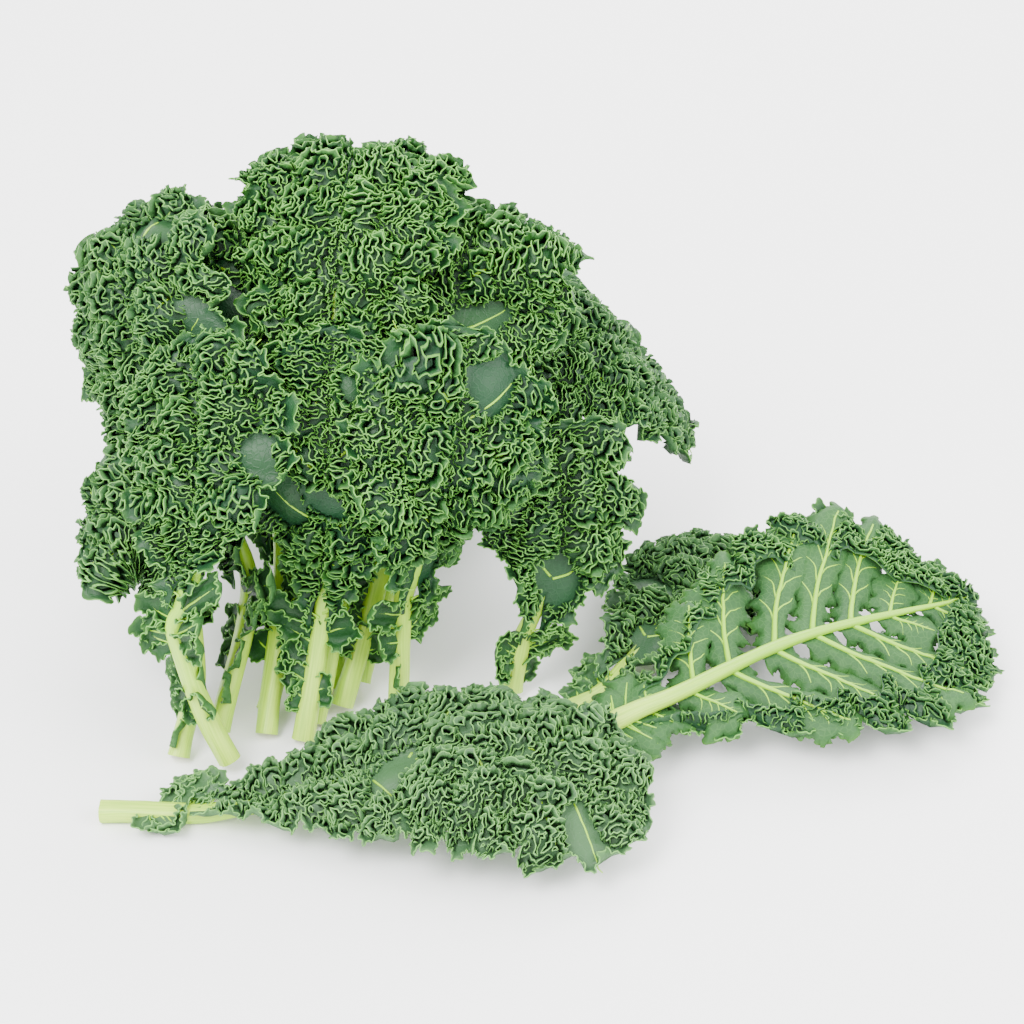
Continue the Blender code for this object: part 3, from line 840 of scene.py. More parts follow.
def add_curl(sheet, line, closed, rng):
    """A curl that stands on the blade along a line. It swings more and more towards its rim."""
    reached = path_lengths(*line.T)
    if reached[-1] < SHORTEST_CURL:
        return
    count = ROOT_SHARE * max(round(reached[-1] / (ROOT_SHARE * CURL_SPACING)), 1) + 1
    places = np.linspace(0.0, reached[-1], count)
    along, aside = (np.interp(places, reached, values) for values in line.T)
    along, aside = (soften(values, 0.8, closed) for values in (along, aside))
    blade = sheet.blade
    blades = blade.blades
    tall = blades.open_curl_height if blade.open else blades.curl_height
    waving = (0.72 + 0.40 * wander(rng, reached[-1], 0.0065, count)
              + 0.18 * wander(rng, reached[-1], 0.0028, count))
    tall = tall * np.clip(waving, 0.20, 1.15) * blade.curl_share(along, aside)
    height, _, tone = blade.shape(along, aside)
    tall = np.clip(np.minimum(tall, blade.room(along, aside) - height), LOWEST_CURL, None)
    rise = blade.slope(along, aside)
    ahead = np.stack((np.gradient(along), np.gradient(aside)))
    ahead /= np.linalg.norm(ahead, axis=0) + 1e-9
    crimp = np.sin(math.tau * places / blades.crimp_pitch
                   + 2.0 * wander(rng, reached[-1], 0.006, count) + rng.uniform(0.0, 6.0))
    swing = (blades.sway * wander(rng, reached[-1], 0.011, count) + blades.crimp_size * crimp)
    swing = swing * np.clip(tall / 0.004, 0.0, 1.0)
    if closed:
        ends = even(np.minimum(places, reached[-1] - places) / 0.004)
        swing = swing * ends
        tall = tall * ends + tall[0] * (1.0 - ends)
    root = [soften(values, ROOT_SOFTNESS / CURL_SPACING, closed)[::ROOT_SHARE]
            for values in (along, aside)]
    root.append(blade.shape(*root)[0] - ROOT_SINK)
    low = sheet.add_points(root, 0.0, tone[::ROOT_SHARE])
    # Painted highlight along the curl's rim, stronger on taller curls and broken up by a wave.
    rim_highlight = (np.clip(tall / 0.0050, 0.0, 1.0)
                * (0.70 + 0.30 * wander(rng, reached[-1], 0.006, count)))
    rims = []
    for side in (-0.5, 0.5):
        shift = swing + side * blades.thickness
        rim = (along - ahead[1] * shift - blades.spread * rise[0] * tall,
               aside + ahead[0] * shift - blades.spread * rise[1] * tall, height + tall)
        rims.append(sheet.add_points(rim, rim_highlight, tone))
    for row, finish in zip(rims, (UPPER, UNDER)):
        sheet.add_fan(low, row, ROOT_SHARE, finish == UPPER, finish)
    for index in range(count - 1):
        sheet.add_face((rims[0][index], rims[1][index], rims[1][index + 1], rims[0][index + 1]),
                       RIM)
    if not closed:
        sheet.add_face((low[0], rims[1][0], rims[0][0]), RIM)
        sheet.add_face((low[-1], rims[0][-1], rims[1][-1]), RIM)


def add_curls(sheet, rng):
    blade = sheet.blade
    half = 0.5 * blade.laid.leaf.width + 0.004
    rows = np.arange(0.0, blade.length, CURL_GRID)
    columns = np.arange(-half, half, CURL_GRID)
    field = labyrinth(rng, rows, columns, blade.blades.curl_pitch)
    for line, closed in zero_lines(field):
        line = line * CURL_GRID + np.array((rows[0], columns[0]))
        kept = blade.curl_share(*line.T) > CURL_MASK
        if kept.any():
            for part, whole in kept_parts(line, closed, kept):
                add_curl(sheet, part, whole, rng)


def add_lamina(sheet):
    """The sheet that the curls stand on. Returns its two margins as paths of points."""
    blade = sheet.blade
    rows = np.linspace(0.0, blade.length, round(blade.length / BLADE_ROW))
    sides = []
    for side in (-1.0, 1.0):
        along = np.repeat(rows, len(HALF_COLUMNS))
        share = np.tile(HALF_COLUMNS, len(rows))
        inner = blade.inner(along)
        aside = side * (inner + (1.0 - inner) * share) * blade.edge(along, np.full(1, side))
        height, _, tone = blade.shape(along, aside)
        flats = (along, aside, height)
        points = sheet.add_points(flats, 0.0, tone)
        sheet.add_quads(points, len(rows), len(HALF_COLUMNS), side < 0.0)
        last = slice(len(HALF_COLUMNS) - 1, None, len(HALF_COLUMNS))
        sides.append(([values[last] for values in flats], points[last]))
    return sides


class Lobe(NamedTuple):
    """A lobe: where its vein starts, its side (0 for the tip's), its angle from the midrib,
    its length, how much of the midrib it takes, its lift, and its tilt."""
    start: float
    side: int
    angle: float
    length: float
    step: float
    rise: float
    tilt: float


def plan_lobes(blade, rng):
    """The lobes of the turned leaf, which are cut nearly to its midrib."""
    count = round(blade.length / blade.blades.open_lobe_pitch)
    step = blade.length / (count + 0.7)
    lobes = []
    for number in range(count):
        for side in (-1, 1):
            centre = step * (number + 0.5 + rng.uniform(-0.08, 0.08))
            run = centre / blade.length
            angle = math.radians(LOBE_ANGLE - ANGLE_CLOSING * run + rng.uniform(-4.0, 4.0))
            reach = 0.02
            for _ in range(4):
                tip = np.array([min(centre + reach * math.cos(angle), 0.97 * blade.length)])
                limit = blade.blades.lobe_reach * blade.edge(tip, np.array([side]))[0]
                reach = limit / math.sin(angle)
            reach = min(reach, (0.95 * blade.length - centre) / math.cos(angle))
            lobes.append(Lobe(centre, side, angle, reach, step, rng.uniform(0.2, 1.0),
                              rng.uniform(-0.6, 0.6)))
    lobes.append(Lobe(blade.length - 1.1 * step, 0, 0.0, 0.95 * step, 1.3 * step, 0.7, 0.0))
    return lobes


def plan_leaflets(blade, rng):
    """The small leaflets on the bare stem."""
    bare = -blade.laid.along[0]
    leaflets = []
    for _ in range(blade.blades.leaflets):
        down = 0.02 + 0.70 * rng.uniform(0.0, 1.0) ** 1.6
        leaflets.append(Lobe(-bare * down, int(rng.choice((-1, 1))),
                             math.radians(rng.uniform(50.0, 75.0)),
                             (0.036 - 0.030 * down) * rng.uniform(0.7, 1.1), 0.014,
                             rng.uniform(0.0, 0.6), rng.uniform(-1.0, 1.0)))
    return leaflets


def lobe_flat(blade, lobe, shares, spans):
    """Where points of a lobe are on the flat leaf: along, aside and lift."""
    fan = OPEN_FAN if blade.open and lobe.start > 0.0 else LOBE_FAN
    half = np.array([read_profile(fan, share) for share in shares]) * lobe.step
    reach = shares * (1.0 - TIP_ROUNDING * spans ** 2 * shares ** 2)
    bend = 0.82 * reach + 0.18 * reach ** 2
    blend = even(shares / 0.3)
    side = lobe.side if lobe.side else 1
    if lobe.side:
        along = lobe.start + lobe.length * math.cos(lobe.angle) * bend
        aside = lobe.length * math.sin(lobe.angle) * (1.06 * reach - 0.06 * reach ** 2)
        across = np.stack((1.0 - blend + blend * math.sin(lobe.angle),
                           -blend * math.cos(lobe.angle)))
    else:
        along = lobe.start + lobe.length * reach
        aside = np.zeros_like(reach)
        across = np.stack((np.zeros_like(reach), np.ones_like(reach)))
    along = along + across[0] * spans * half
    aside = (aside + across[1] * spans * half) * side
    grown = np.clip(shares / 0.5, 0.0, 1.0) ** 1.5
    lift = (grown * spans * half * 0.35 * lobe.tilt
            - 0.30 * even(shares / 0.2) * np.abs(spans) * half)
    lift = lift + grown * 0.004 * lobe.rise
    return along, aside, lift - blade.laid.facing * blade.laid.drop(along)


def margin_path(top, last):
    """The lobe's margin in rows and columns of its grid, up one side and down the other."""
    path = [(row, 0) for row in range(FRILL_START, top)]
    path += [(top, column) for column in range(last + 1)]
    path += [(row, last) for row in range(top - 1, FRILL_START - 1, -1)]
    return path


class Sheet:
    """A growing mesh: its points with where they are on the flat leaf, how much painted highlight
    they take near a rim and how bright their green is, painted shade in the creases included, and
    its faces with their finishes."""

    def __init__(self, blade):
        self.blade = blade
        self.points = []
        self.flats = []
        self.rims = []
        self.tones = []
        self.faces = []
        self.finishes = []
        self.count = 0

    def add_points(self, flats, rim, tone):
        points = self.blade.place(*flats)
        self.points.append(points)
        self.flats.append(np.stack(flats, axis=1))
        self.rims.append(np.broadcast_to(np.asarray(rim, float), len(points)))
        self.tones.append(np.broadcast_to(np.asarray(tone, float), len(points)))
        self.count += len(points)
        return range(self.count - len(points), self.count)

    def add_face(self, face, finish):
        self.faces.append(face)
        self.finishes.append(finish)

    def add_quads(self, points, rows, columns, flipped):
        for row in range(rows - 1):
            for column in range(columns - 1):
                corner = points[row * columns + column]
                face = (corner, corner + 1, corner + columns + 1, corner + columns)
                self.add_face(face[::-1] if flipped else face, UPPER)

    def add_fan(self, low, high, times, flipped, finish=UPPER):
        """Faces between a row of points and the next, which has more of them."""
        middle = times // 2
        turn = 1 if flipped else -1
        for index in range(len(low) - 1):
            start = times * index
            for step in range(times):
                corner = low[index] if step < middle else low[index + 1]
                self.add_face((corner, high[start + step], high[start + step + 1])[::turn],
                              finish)
            self.add_face((low[index], high[start + middle], low[index + 1])[::turn], finish)


def frill_waves(distance, blades, rng):
    """How far round its swing each kind of wave is, from the wide folds to the crimps."""
    waves = []
    stretched = distance
    for turn, pitch in ((FOLD_TURN, blades.fold_pitch), (CURL_TURN, blades.frill_pitch),
                        (CRIMP_TURN, blades.crimp_pitch)):
        drift = 1.3 * wander(rng, stretched[-1], 0.9 * pitch, len(distance))
        waves.append(math.tau * stretched / pitch + drift + rng.uniform(0.0, math.tau))
        stretched = stretched / bessel(turn)
    return waves


def add_frill(sheet, flat, root, tall, flare, tone, flipped, rng):
    """A frill on a margin, as rows that swing more and more towards the rim."""
    blades = sheet.blade.blades
    finest = FRILL_ROWS[-1][4]
    count = (len(root) - 1) * finest + 1
    places = np.arange(count) / finest
    knots = np.arange(len(root))
    along, aside, lift = (np.interp(places, knots, values) for values in flat)
    distance = path_lengths(along, aside)
    ahead = np.stack([soften(np.gradient(part), finest, False) for part in (along, aside)])
    ahead /= np.linalg.norm(ahead, axis=0) + 1e-12
    turned = np.stack((-ahead[1], ahead[0]))
    centre = np.array([np.mean(along), np.mean(aside)])[:, None]
    if np.mean(np.sum(turned * (np.stack((along, aside)) - centre), axis=0)) < 0.0:
        turned = -turned
    waves = frill_waves(distance, blades, rng)
    ends = np.minimum(distance, distance[-1] - distance)
    size = np.clip(ends / blades.frill_onset, 0.05, 1.0) * min(1.0, 0.35 + distance[-1] / 0.10)
    lean = flare + blades.lean * wander(rng, distance[-1], 0.025, count)
    height = tall * (0.70 + 0.20 * wander(rng, distance[-1], 0.012, count)
                     + 0.10 * np.sin(waves[0]))
    points_before = 1
    for share, folds, curls, crimps, points_each, pale in FRILL_ROWS:
        forward, out = meander(distance, waves, (folds, curls, crimps))
        out = out + lean * share
        here_along = along + size * (ahead[0] * forward + turned[0] * out)
        here_aside = aside + size * (ahead[1] * forward + turned[1] * out)
        here_lift = lift + size * height * share
        picks = np.arange(0, count, finest // points_each)
        flats = (here_along[picks], here_aside[picks], here_lift[picks])
        # Painted highlight on this row, weaker where the frill is small.
        highlight_here = pale * np.clip(size[picks] * 2.0, 0.3, 1.0)
        row = sheet.add_points(flats, highlight_here, tone)
        sheet.add_fan(root, row, points_each // points_before, flipped)
        root = row
        points_before = points_each


def add_lobe(sheet, lobe, rng):
    blade = sheet.blade
    wide = blade.open and lobe.start > 0.0
    rows, columns = (LOBE_ROWS, LOBE_COLUMNS) if wide else (LEAFLET_ROWS, LEAFLET_COLUMNS)
    flipped = (lobe.side > 0) == (blade.laid.facing > 0.0)
    flats = lobe_flat(blade, lobe, np.repeat(rows, len(columns)), np.tile(columns, len(rows)))
    tone = blade.tone + 0.3 * lobe.rise + (0.0 if wide else 0.3)
    points = sheet.add_points(flats, 0.0, tone)
    sheet.add_quads(points, len(rows), len(columns), flipped)
    path = [row * len(columns) + column
            for row, column in margin_path(len(rows) - 1, len(columns) - 1)]
    tall = blade.blades.frill_height * blade.laid.facing
    flare = blade.blades.open_flare if wide else blade.blades.flare
    add_frill(sheet, [values[path] for values in flats], [points[place] for place in path], tall,
              flare, tone, flipped, rng)


def blade_sheet(blade, lobes, rng):
    sheet = Sheet(blade)
    for lobe in lobes:
        add_lobe(sheet, lobe, rng)
    for (flats, path), flipped in zip(add_lamina(sheet), (False, True)):
        add_frill(sheet, flats, path, blade.blades.edge_height, blade.blades.edge_flare,
                  blade.tone, flipped, rng)
    return sheet


def add_values(mesh, name, kind, values):
    attribute = mesh.attributes.new(name, kind, "POINT")
    field = "vector" if kind == "FLOAT_VECTOR" else "value"
    attribute.data.foreach_set(field, np.ascontiguousarray(values, np.float32).ravel())


def mesh_from(sheet, name, finishes):
    mesh = bpy.data.meshes.new(name)
    mesh.from_pydata(np.concatenate(sheet.points), [], sheet.faces)
    for finish in ("upper", "under", "rim"):
        mesh.materials.append(finishes[finish])
    mesh.polygons.foreach_set("material_index", sheet.finishes)
    add_values(mesh, "rim", "FLOAT", np.concatenate(sheet.rims))
    add_values(mesh, "tone", "FLOAT", np.concatenate(sheet.tones))
    add_values(mesh, "bloom", "FLOAT", np.full(sheet.count, sheet.blade.laid.leaf.bloom))
    add_values(mesh, "flat", "FLOAT_VECTOR", np.concatenate(sheet.flats))
    shape = bmesh.new()
    shape.from_mesh(mesh)
    bmesh.ops.remove_doubles(shape, verts=shape.verts, dist=2e-5)
    shape.to_mesh(mesh)
    shape.free()
    mesh.shade_smooth()
    return mesh


def tube(places, ups, radii, sides, groove=0.0):
    """Rings of points round a line. A groove runs along its upper side."""
    ahead = unit(np.gradient(places, axis=0))
    across = unit(np.cross(ahead, ups))
    up = np.cross(across, ahead)
    turns = np.arange(sides) / sides * math.tau
    swell = 1.0 - groove * np.exp(-((turns - 0.5 * math.pi) / 0.5) ** 2)
    ring = (across[:, None] * np.cos(turns)[None, :, None]
            + up[:, None] * np.sin(turns)[None, :, None])
    return places[:, None] + ring * (radii[:, None] * swell[None, :])[:, :, None]


class Rods:
    """A growing mesh of tubes, with how far along the stem each point is."""

    def __init__(self):
        self.points = []
        self.runs = []
        self.faces = []
        self.cut_faces = []
        self.count = 0

    def add_rings(self, rings, runs):
        first = self.count
        sides = rings.shape[1]
        self.points.append(rings.reshape(-1, 3))
        turns = np.tile(np.arange(sides) / sides, len(rings))
        self.runs.append(np.stack((np.repeat(runs, sides), np.sin(math.tau * turns),
                                   np.cos(math.tau * turns)), axis=1))
        self.count += len(rings) * sides
        return first

    def join(self, faces, first, rings, sides):
        for ring in range(rings - 1):
            for side in range(sides):
                a = first + ring * sides + side
                b = first + ring * sides + (side + 1) % sides
                faces.append((a, b, b + sides, a + sides))

    def add_tube(self, rings, runs):
        """A closed tube with rounded ends."""
        sides = rings.shape[1]
        middles = rings.mean(axis=1, keepdims=True)
        ends = [middles[:1] + 0.4 * (rings[:1] - middles[:1]),
                middles[-1:] + 0.4 * (rings[-1:] - middles[-1:])]
        rings = np.concatenate((ends[0], rings, ends[1]))
        runs = np.concatenate((runs[:1], runs, runs[-1:]))
        first = self.add_rings(rings, runs)
        self.join(self.faces, first, len(rings), sides)
        self.faces.append(tuple(range(first + sides - 1, first - 1, -1)))
        last = first + (len(rings) - 1) * sides
        self.faces.append(tuple(range(last, last + sides)))

    def mesh(self, name, materials):
        mesh = bpy.data.meshes.new(name)
        points = np.concatenate(self.points)
        points[:, 2] = np.maximum(points[:, 2], FLOOR_HEIGHT)
        mesh.from_pydata(points, [], self.faces + self.cut_faces)
        add_values(mesh, "run", "FLOAT_VECTOR", np.concatenate(self.runs))
        for material in materials:
            mesh.materials.append(material)
        for polygon in mesh.polygons[len(self.faces):]:
            polygon.material_index = 1
        mesh.shade_smooth()
        return mesh


def stem_line(laid, stems, rng):
    """Places, ups and radii along the stem and midrib, from the cut end to the tip."""
    last = len(laid.along) - 1
    rows = np.concatenate((np.linspace(0.0, PETIOLE_STATIONS, 26)[:-1],
                           np.linspace(PETIOLE_STATIONS, last - 1.2, 60)))
    middle = np.full(len(rows), float(MIDDLE))
    along, radii, depth = (np.interp(rows, np.arange(last + 1), values)
                           for values in (laid.along, laid.radius, laid.depth))
    ups = unit(read_grid(laid.normals, rows, middle))
    places = read_grid(laid.net, rows, middle)
    rib = even(along / 0.035)
    depth = depth * (1.0 - rib) + 0.72 * radii * rib
    radii = radii * (1.0 + stems.swell * (1.0 - rib) * (1.0 + 0.5 * np.exp(-rows / 0.7)))
    radii = radii * (1.0 + 0.05 * wander(rng, 1.0, 0.09, len(rows)))
    return along, places - ups * (laid.facing * depth)[:, None], ups * laid.facing, radii


def add_cut_end(rods, rings):
    """The cut face of a stem: a narrow turned edge, then a slightly sunken middle."""
    sides = rings.shape[1]
    middle = rings[0].mean(axis=0)
    back = middle - rings[1].mean(axis=0)
    back /= np.linalg.norm(back)
    loops = [middle + share * (rings[0] - middle) + back * rise for share, rise in CUT_LOOPS]
    loops.append(rings[0])
    first = rods.add_rings(np.array(loops), np.array([0.0, 0.45, 0.84, 0.96, 1.0]))
    rods.join(rods.cut_faces, first, len(loops), sides)
    rods.cut_faces.append(tuple(range(first + sides - 1, first - 1, -1)))


def add_stem_rod(rods, laid, stems, rng):
    along, places, ups, radii = stem_line(laid, stems, rng)
    rings = tube(places, ups, radii, STEM_SIDES, stems.groove)
    first = rods.add_rings(rings, along - along[0])
    rods.join(rods.faces, first, len(rings), STEM_SIDES)
    last = first + (len(rings) - 1) * STEM_SIDES
    rods.faces.append(tuple(range(last, last + STEM_SIDES)))
    add_cut_end(rods, rings)


def add_vein(rods, blade, flats, radii, sides):
    along, aside, lift = flats
    sink = lift - 0.3 * radii * blade.laid.facing
    places = on_leaf(blade.laid, along, aside, sink)
    ups = on_leaf(blade.laid, along, aside, sink + 0.001) - places
    rods.add_tube(tube(places, ups, radii, sides), np.full(len(along), 0.35))


def add_lobe_veins(rods, blade, stems, lobes):
    """The veins of the lobes and their branches."""
    for lobe in lobes:
        if lobe.length < SHORTEST_VEINED:
            continue
        shares = np.linspace(0.0, 0.96, 16)
        thick = stems.open_vein_radius * min(1.0, 0.4 + lobe.length / 0.12)
        add_vein(rods, blade, lobe_flat(blade, lobe, shares, np.zeros(16)),
                 thick * (1.0 - 0.72 * shares), 8)
        for start, run, aim in VEIN_BRANCHES:
            for side in (-1.0, 1.0):
                shares = start + 0.03 * side + 0.02 * lobe.rise + np.linspace(0.0, run, 8)
                spans = side * aim * np.linspace(0.0, 1.0, 8) ** 1.15
                add_vein(rods, blade, lobe_flat(blade, lobe, shares, spans),
                         0.48 * thick * (1.0 - 0.6 * start) * np.linspace(1.0, 0.45, 8), 6)


def add_side_veins(rods, blade, stems, rng):
    """The side veins of a curly blade, which show on its smooth puffs and underneath."""
    count = round(blade.length / blade.blades.notch_pitch)
    for number in range(count):
        for side in (-1.0, 1.0):
            start = blade.length * (number + 0.4 + rng.uniform(-0.2, 0.2)) / count
            angle = math.radians(VEIN_ANGLE - ANGLE_CLOSING * start / blade.length)
            reach = 0.7 * blade.edge(np.array([start]), np.array([side]))[0] / math.sin(angle)
            shares = np.linspace(0.0, 1.0, 18)
            along = start + reach * math.cos(angle) * shares ** 1.15
            aside = side * (0.001 + reach * math.sin(angle) * shares)
            fits = along < 0.96 * blade.length
            if fits.sum() < 4:
                continue
            along, aside, shares = along[fits], aside[fits], shares[fits]
            radii = stems.vein_radius * (1.0 - 0.7 * shares)
            height, smooth, _ = blade.shape(along, aside)
            height = height + radii * (1.9 * smooth - 1.5)
            add_vein(rods, blade, (along, aside, height), radii, 6)


def build_leaf(laid, number, blades, stems, finishes):
    rng = np.random.default_rng(LOOKS_SEED + number)
    name = laid.leaf.name
    blade = Blade(laid, blades, number, rng)
    lobes = plan_lobes(blade, rng) if blade.open else []
    leaflets = plan_leaflets(blade, rng)
    sheet = blade_sheet(blade, lobes + leaflets, rng)
    piece = add_piece(mesh_from(sheet, f"blade_{name}", finishes), f"leaf_{name}")
    solidify = piece.modifiers.new("Thickness", "SOLIDIFY")
    solidify.thickness = blades.thickness
    solidify.offset = 0.0
    solidify.material_offset = UNDER
    solidify.material_offset_rim = RIM
    curls = Sheet(blade)
    add_curls(curls, rng)
    add_piece(mesh_from(curls, f"curls_{name}", finishes), f"leaf_{name}")
    rods = Rods()
    add_stem_rod(rods, laid, stems, rng)
    if blade.open:
        add_lobe_veins(rods, blade, stems, lobes)
    else:
        add_side_veins(rods, blade, stems, rng)
    for lobe in leaflets:
        shares = np.linspace(0.0, 0.85, 9)
        add_vein(rods, blade, lobe_flat(blade, lobe, shares, np.zeros(9)),
                 stems.vein_radius * (1.0 - 0.7 * shares), 6)
    add_piece(rods.mesh(f"veined_{name}", (finishes["stem"], finishes["cut"])), f"stem_{name}")


def add_object(name, data):
    thing = bpy.data.objects.new(name, data)
    bpy.context.scene.collection.objects.link(thing)
    return thing


def add_piece(mesh, node):
    piece = add_object(mesh.name, mesh)
    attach(piece, "root")
    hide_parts(node)
    return piece


def principled(name):
    material = bpy.data.materials.new(name)
    material.use_nodes = True
    return material, material.node_tree, material.node_tree.nodes["Principled BSDF"]


def fill_sockets(tree, node, values):
    """Set a node's inputs, or link those that are given another node's output."""
    for name, value in values.items():
        if isinstance(value, bpy.types.NodeSocket):
            tree.links.new(value, node.inputs[name])
        else:
            node.inputs[name].default_value = value


def add_node(tree, kind, values=(), **settings):
    node = tree.nodes.new(kind)
    for name, value in settings.items():
        setattr(node, name, value)
    fill_sockets(tree, node, dict(values))
    return node


def attribute(tree, name, output="Fac"):
    return add_node(tree, "ShaderNodeAttribute", attribute_name=name).outputs[output]


def noise(tree, vector, scale, detail):
    return add_node(tree, "ShaderNodeTexNoise",
                    {"Vector": vector, "Scale": scale, "Detail": detail}).outputs["Fac"]


def mix_colour(tree, factor, first, second):
    return add_node(tree, "ShaderNodeMix", {0: factor, 6: first, 7: second},
                    data_type="RGBA").outputs[2]


def math_node(tree, operation, *values, clamp=False):
    return add_node(tree, "ShaderNodeMath", enumerate(values), operation=operation,
                    use_clamp=clamp).outputs[0]


def map_range(tree, value, low, high, to_low=0.0, to_high=1.0):
    return add_node(tree, "ShaderNodeMapRange",
                    {"Value": value, "From Min": low, "From Max": high, "To Min": to_low,
                     "To Max": to_high}, interpolation_type="SMOOTHSTEP").outputs["Result"]


def add_bump(tree, shader, height, strength):
    bump = add_node(tree, "ShaderNodeBump",
                    {"Height": height, "Strength": strength, "Distance": BUMP_DISTANCE})
    tree.links.new(bump.outputs["Normal"], shader.inputs["Normal"])


def leaf_tissue_group():
    """Leaf tissue: light and dark patches, a fine net of veins, painted shade low on the curls,
    frills and the sheet under them, and a painted highlight towards the rim.
    """
    tree = bpy.data.node_groups.new("Leaf Tissue", "ShaderNodeTree")
    colour, number = "NodeSocketColor", "NodeSocketFloat"
    for direction, kind, labels in (("INPUT", colour, TISSUE_COLOURS),
                                    ("INPUT", number, ("Net Share",)),
                                    ("OUTPUT", colour, ("Colour",)),
                                    ("OUTPUT", number, ("Height",))):
        for label in labels:
            tree.interface.new_socket(name=label, in_out=direction, socket_type=kind)
    given = tree.nodes.new("NodeGroupInput").outputs
    flat = attribute(tree, "flat", "Vector")
    rim = attribute(tree, "rim")
    cells = add_node(tree, "ShaderNodeTexVoronoi", {"Vector": flat, "Scale": 260.0},
                     feature="DISTANCE_TO_EDGE")
    veins = map_range(tree, cells.outputs["Distance"], 0.02, 0.12, 1.0, 0.0)
    share = math_node(tree, "MULTIPLY", veins, map_range(tree, rim, 0.0, 0.3, 1.0, 0.0))
    share = math_node(tree, "MULTIPLY", share, given["Net Share"])
    tone_and_painted_light = math_node(tree, "MULTIPLY_ADD", attribute(tree, "tone"), 0.50, 0.02)
    tone_and_painted_light = math_node(tree, "MULTIPLY_ADD", noise(tree, flat, 26.0, 3.0), 0.55, tone_and_painted_light)
    # Painted shade at the foot of curls and frills and on the sheet under them, rising to a
    # painted highlight towards their rims.
    shade_to_highlight = map_range(tree, rim, 0.0, 0.9, -0.25, 0.45)
    tone_and_painted_light = math_node(tree, "ADD", tone_and_painted_light, shade_to_highlight, clamp=True)
    body = mix_colour(tree, tone_and_painted_light, given["Dark And Shade"], given["Fresh"])
    body = mix_colour(tree, share, body, given["Net"])
    # The edge colour is a painted highlight on the tops of the rims.
    edge = math_node(tree, "MULTIPLY", map_range(tree, rim, 0.72, 1.0), 0.75)
    body = mix_colour(tree, edge, body, given["Edge"])
    haze = math_node(tree, "MULTIPLY", attribute(tree, "bloom"), 0.5)
    body = mix_colour(tree, haze, body, BLOOM_COLOUR)
    height = math_node(tree, "MULTIPLY_ADD", noise(tree, flat, 420.0, 2.0), 0.4, veins)
    add_node(tree, "NodeGroupOutput", {"Colour": body, "Height": height})
    return tree


def tissue_material(name, group, colours, net_share, roughness):
    material, tree, shader = principled(name)
    values = {label: (*colour, 1.0) for label, colour in zip(TISSUE_COLOURS, colours)}
    tissue = add_node(tree, "ShaderNodeGroup", values, node_tree=group)
    tissue.inputs["Net Share"].default_value = net_share
    add_bump(tree, shader, tissue.outputs["Height"], 0.25)
    fill_sockets(tree, shader, {"Base Color": tissue.outputs["Colour"], "Roughness": roughness,
                                "Specular IOR Level": 0.22})
    return material


def stem_material():
    """The stem, pale at its foot and streaked along its length."""
    material, tree, shader = principled("pale_stem")
    run = attribute(tree, "run", "Vector")
    stretched = add_node(tree, "ShaderNodeMapping", {"Vector": run, "Scale": (14.0, 3.0, 3.0)})
    streaks = noise(tree, stretched.outputs["Vector"], 2.2, 4.0)
    along = add_node(tree, "ShaderNodeSeparateXYZ", {"Vector": run}).outputs["X"]
    body = mix_colour(tree, map_range(tree, along, 0.0, 0.16), (0.46, 0.68, 0.055, 1.0),
                      (0.28, 0.56, 0.008, 1.0))
    body = mix_colour(tree, map_range(tree, streaks, 0.35, 0.70, 0.0, 0.55), body,
                      (0.19, 0.44, 0.006, 1.0))
    add_bump(tree, shader, streaks, 0.3)
    fill_sockets(tree, shader, {"Base Color": body, "Roughness": 0.42})
    return material


def cut_material():
    """The cut face of a stem, pale with a greener edge."""
    material, tree, shader = principled("cut_stem_face")
    run = attribute(tree, "run", "Vector")
    out = add_node(tree, "ShaderNodeSeparateXYZ", {"Vector": run}).outputs["X"]
    body = mix_colour(tree, noise(tree, run, 9.0, 2.0), (0.70, 0.72, 0.50, 1.0),
                      (0.55, 0.58, 0.34, 1.0))
    body = mix_colour(tree, map_range(tree, out, 0.70, 0.92), body, (0.42, 0.52, 0.24, 1.0))
    fill_sockets(tree, shader, {"Base Color": body, "Roughness": 0.6})
    return material


def leaf_finishes():
    group = leaf_tissue_group()
    finishes = {"stem": stem_material(), "cut": cut_material()}
    for finish, settings in TISSUES.items():
        finishes[finish] = tissue_material(settings[0], group, *settings[1:])
    return finishes


def share_setting(name, default, description):
    return bpy.props.FloatProperty(name=name, default=default, description=description,
                                   subtype="FACTOR")


def length_setting(name, default, description):
    return bpy.props.FloatProperty(name=name, default=default, description=description,
                                   unit="LENGTH")


def angle_setting(name, default, description):
    return bpy.props.FloatProperty(name=name, default=default, description=description,
                                   subtype="ANGLE")


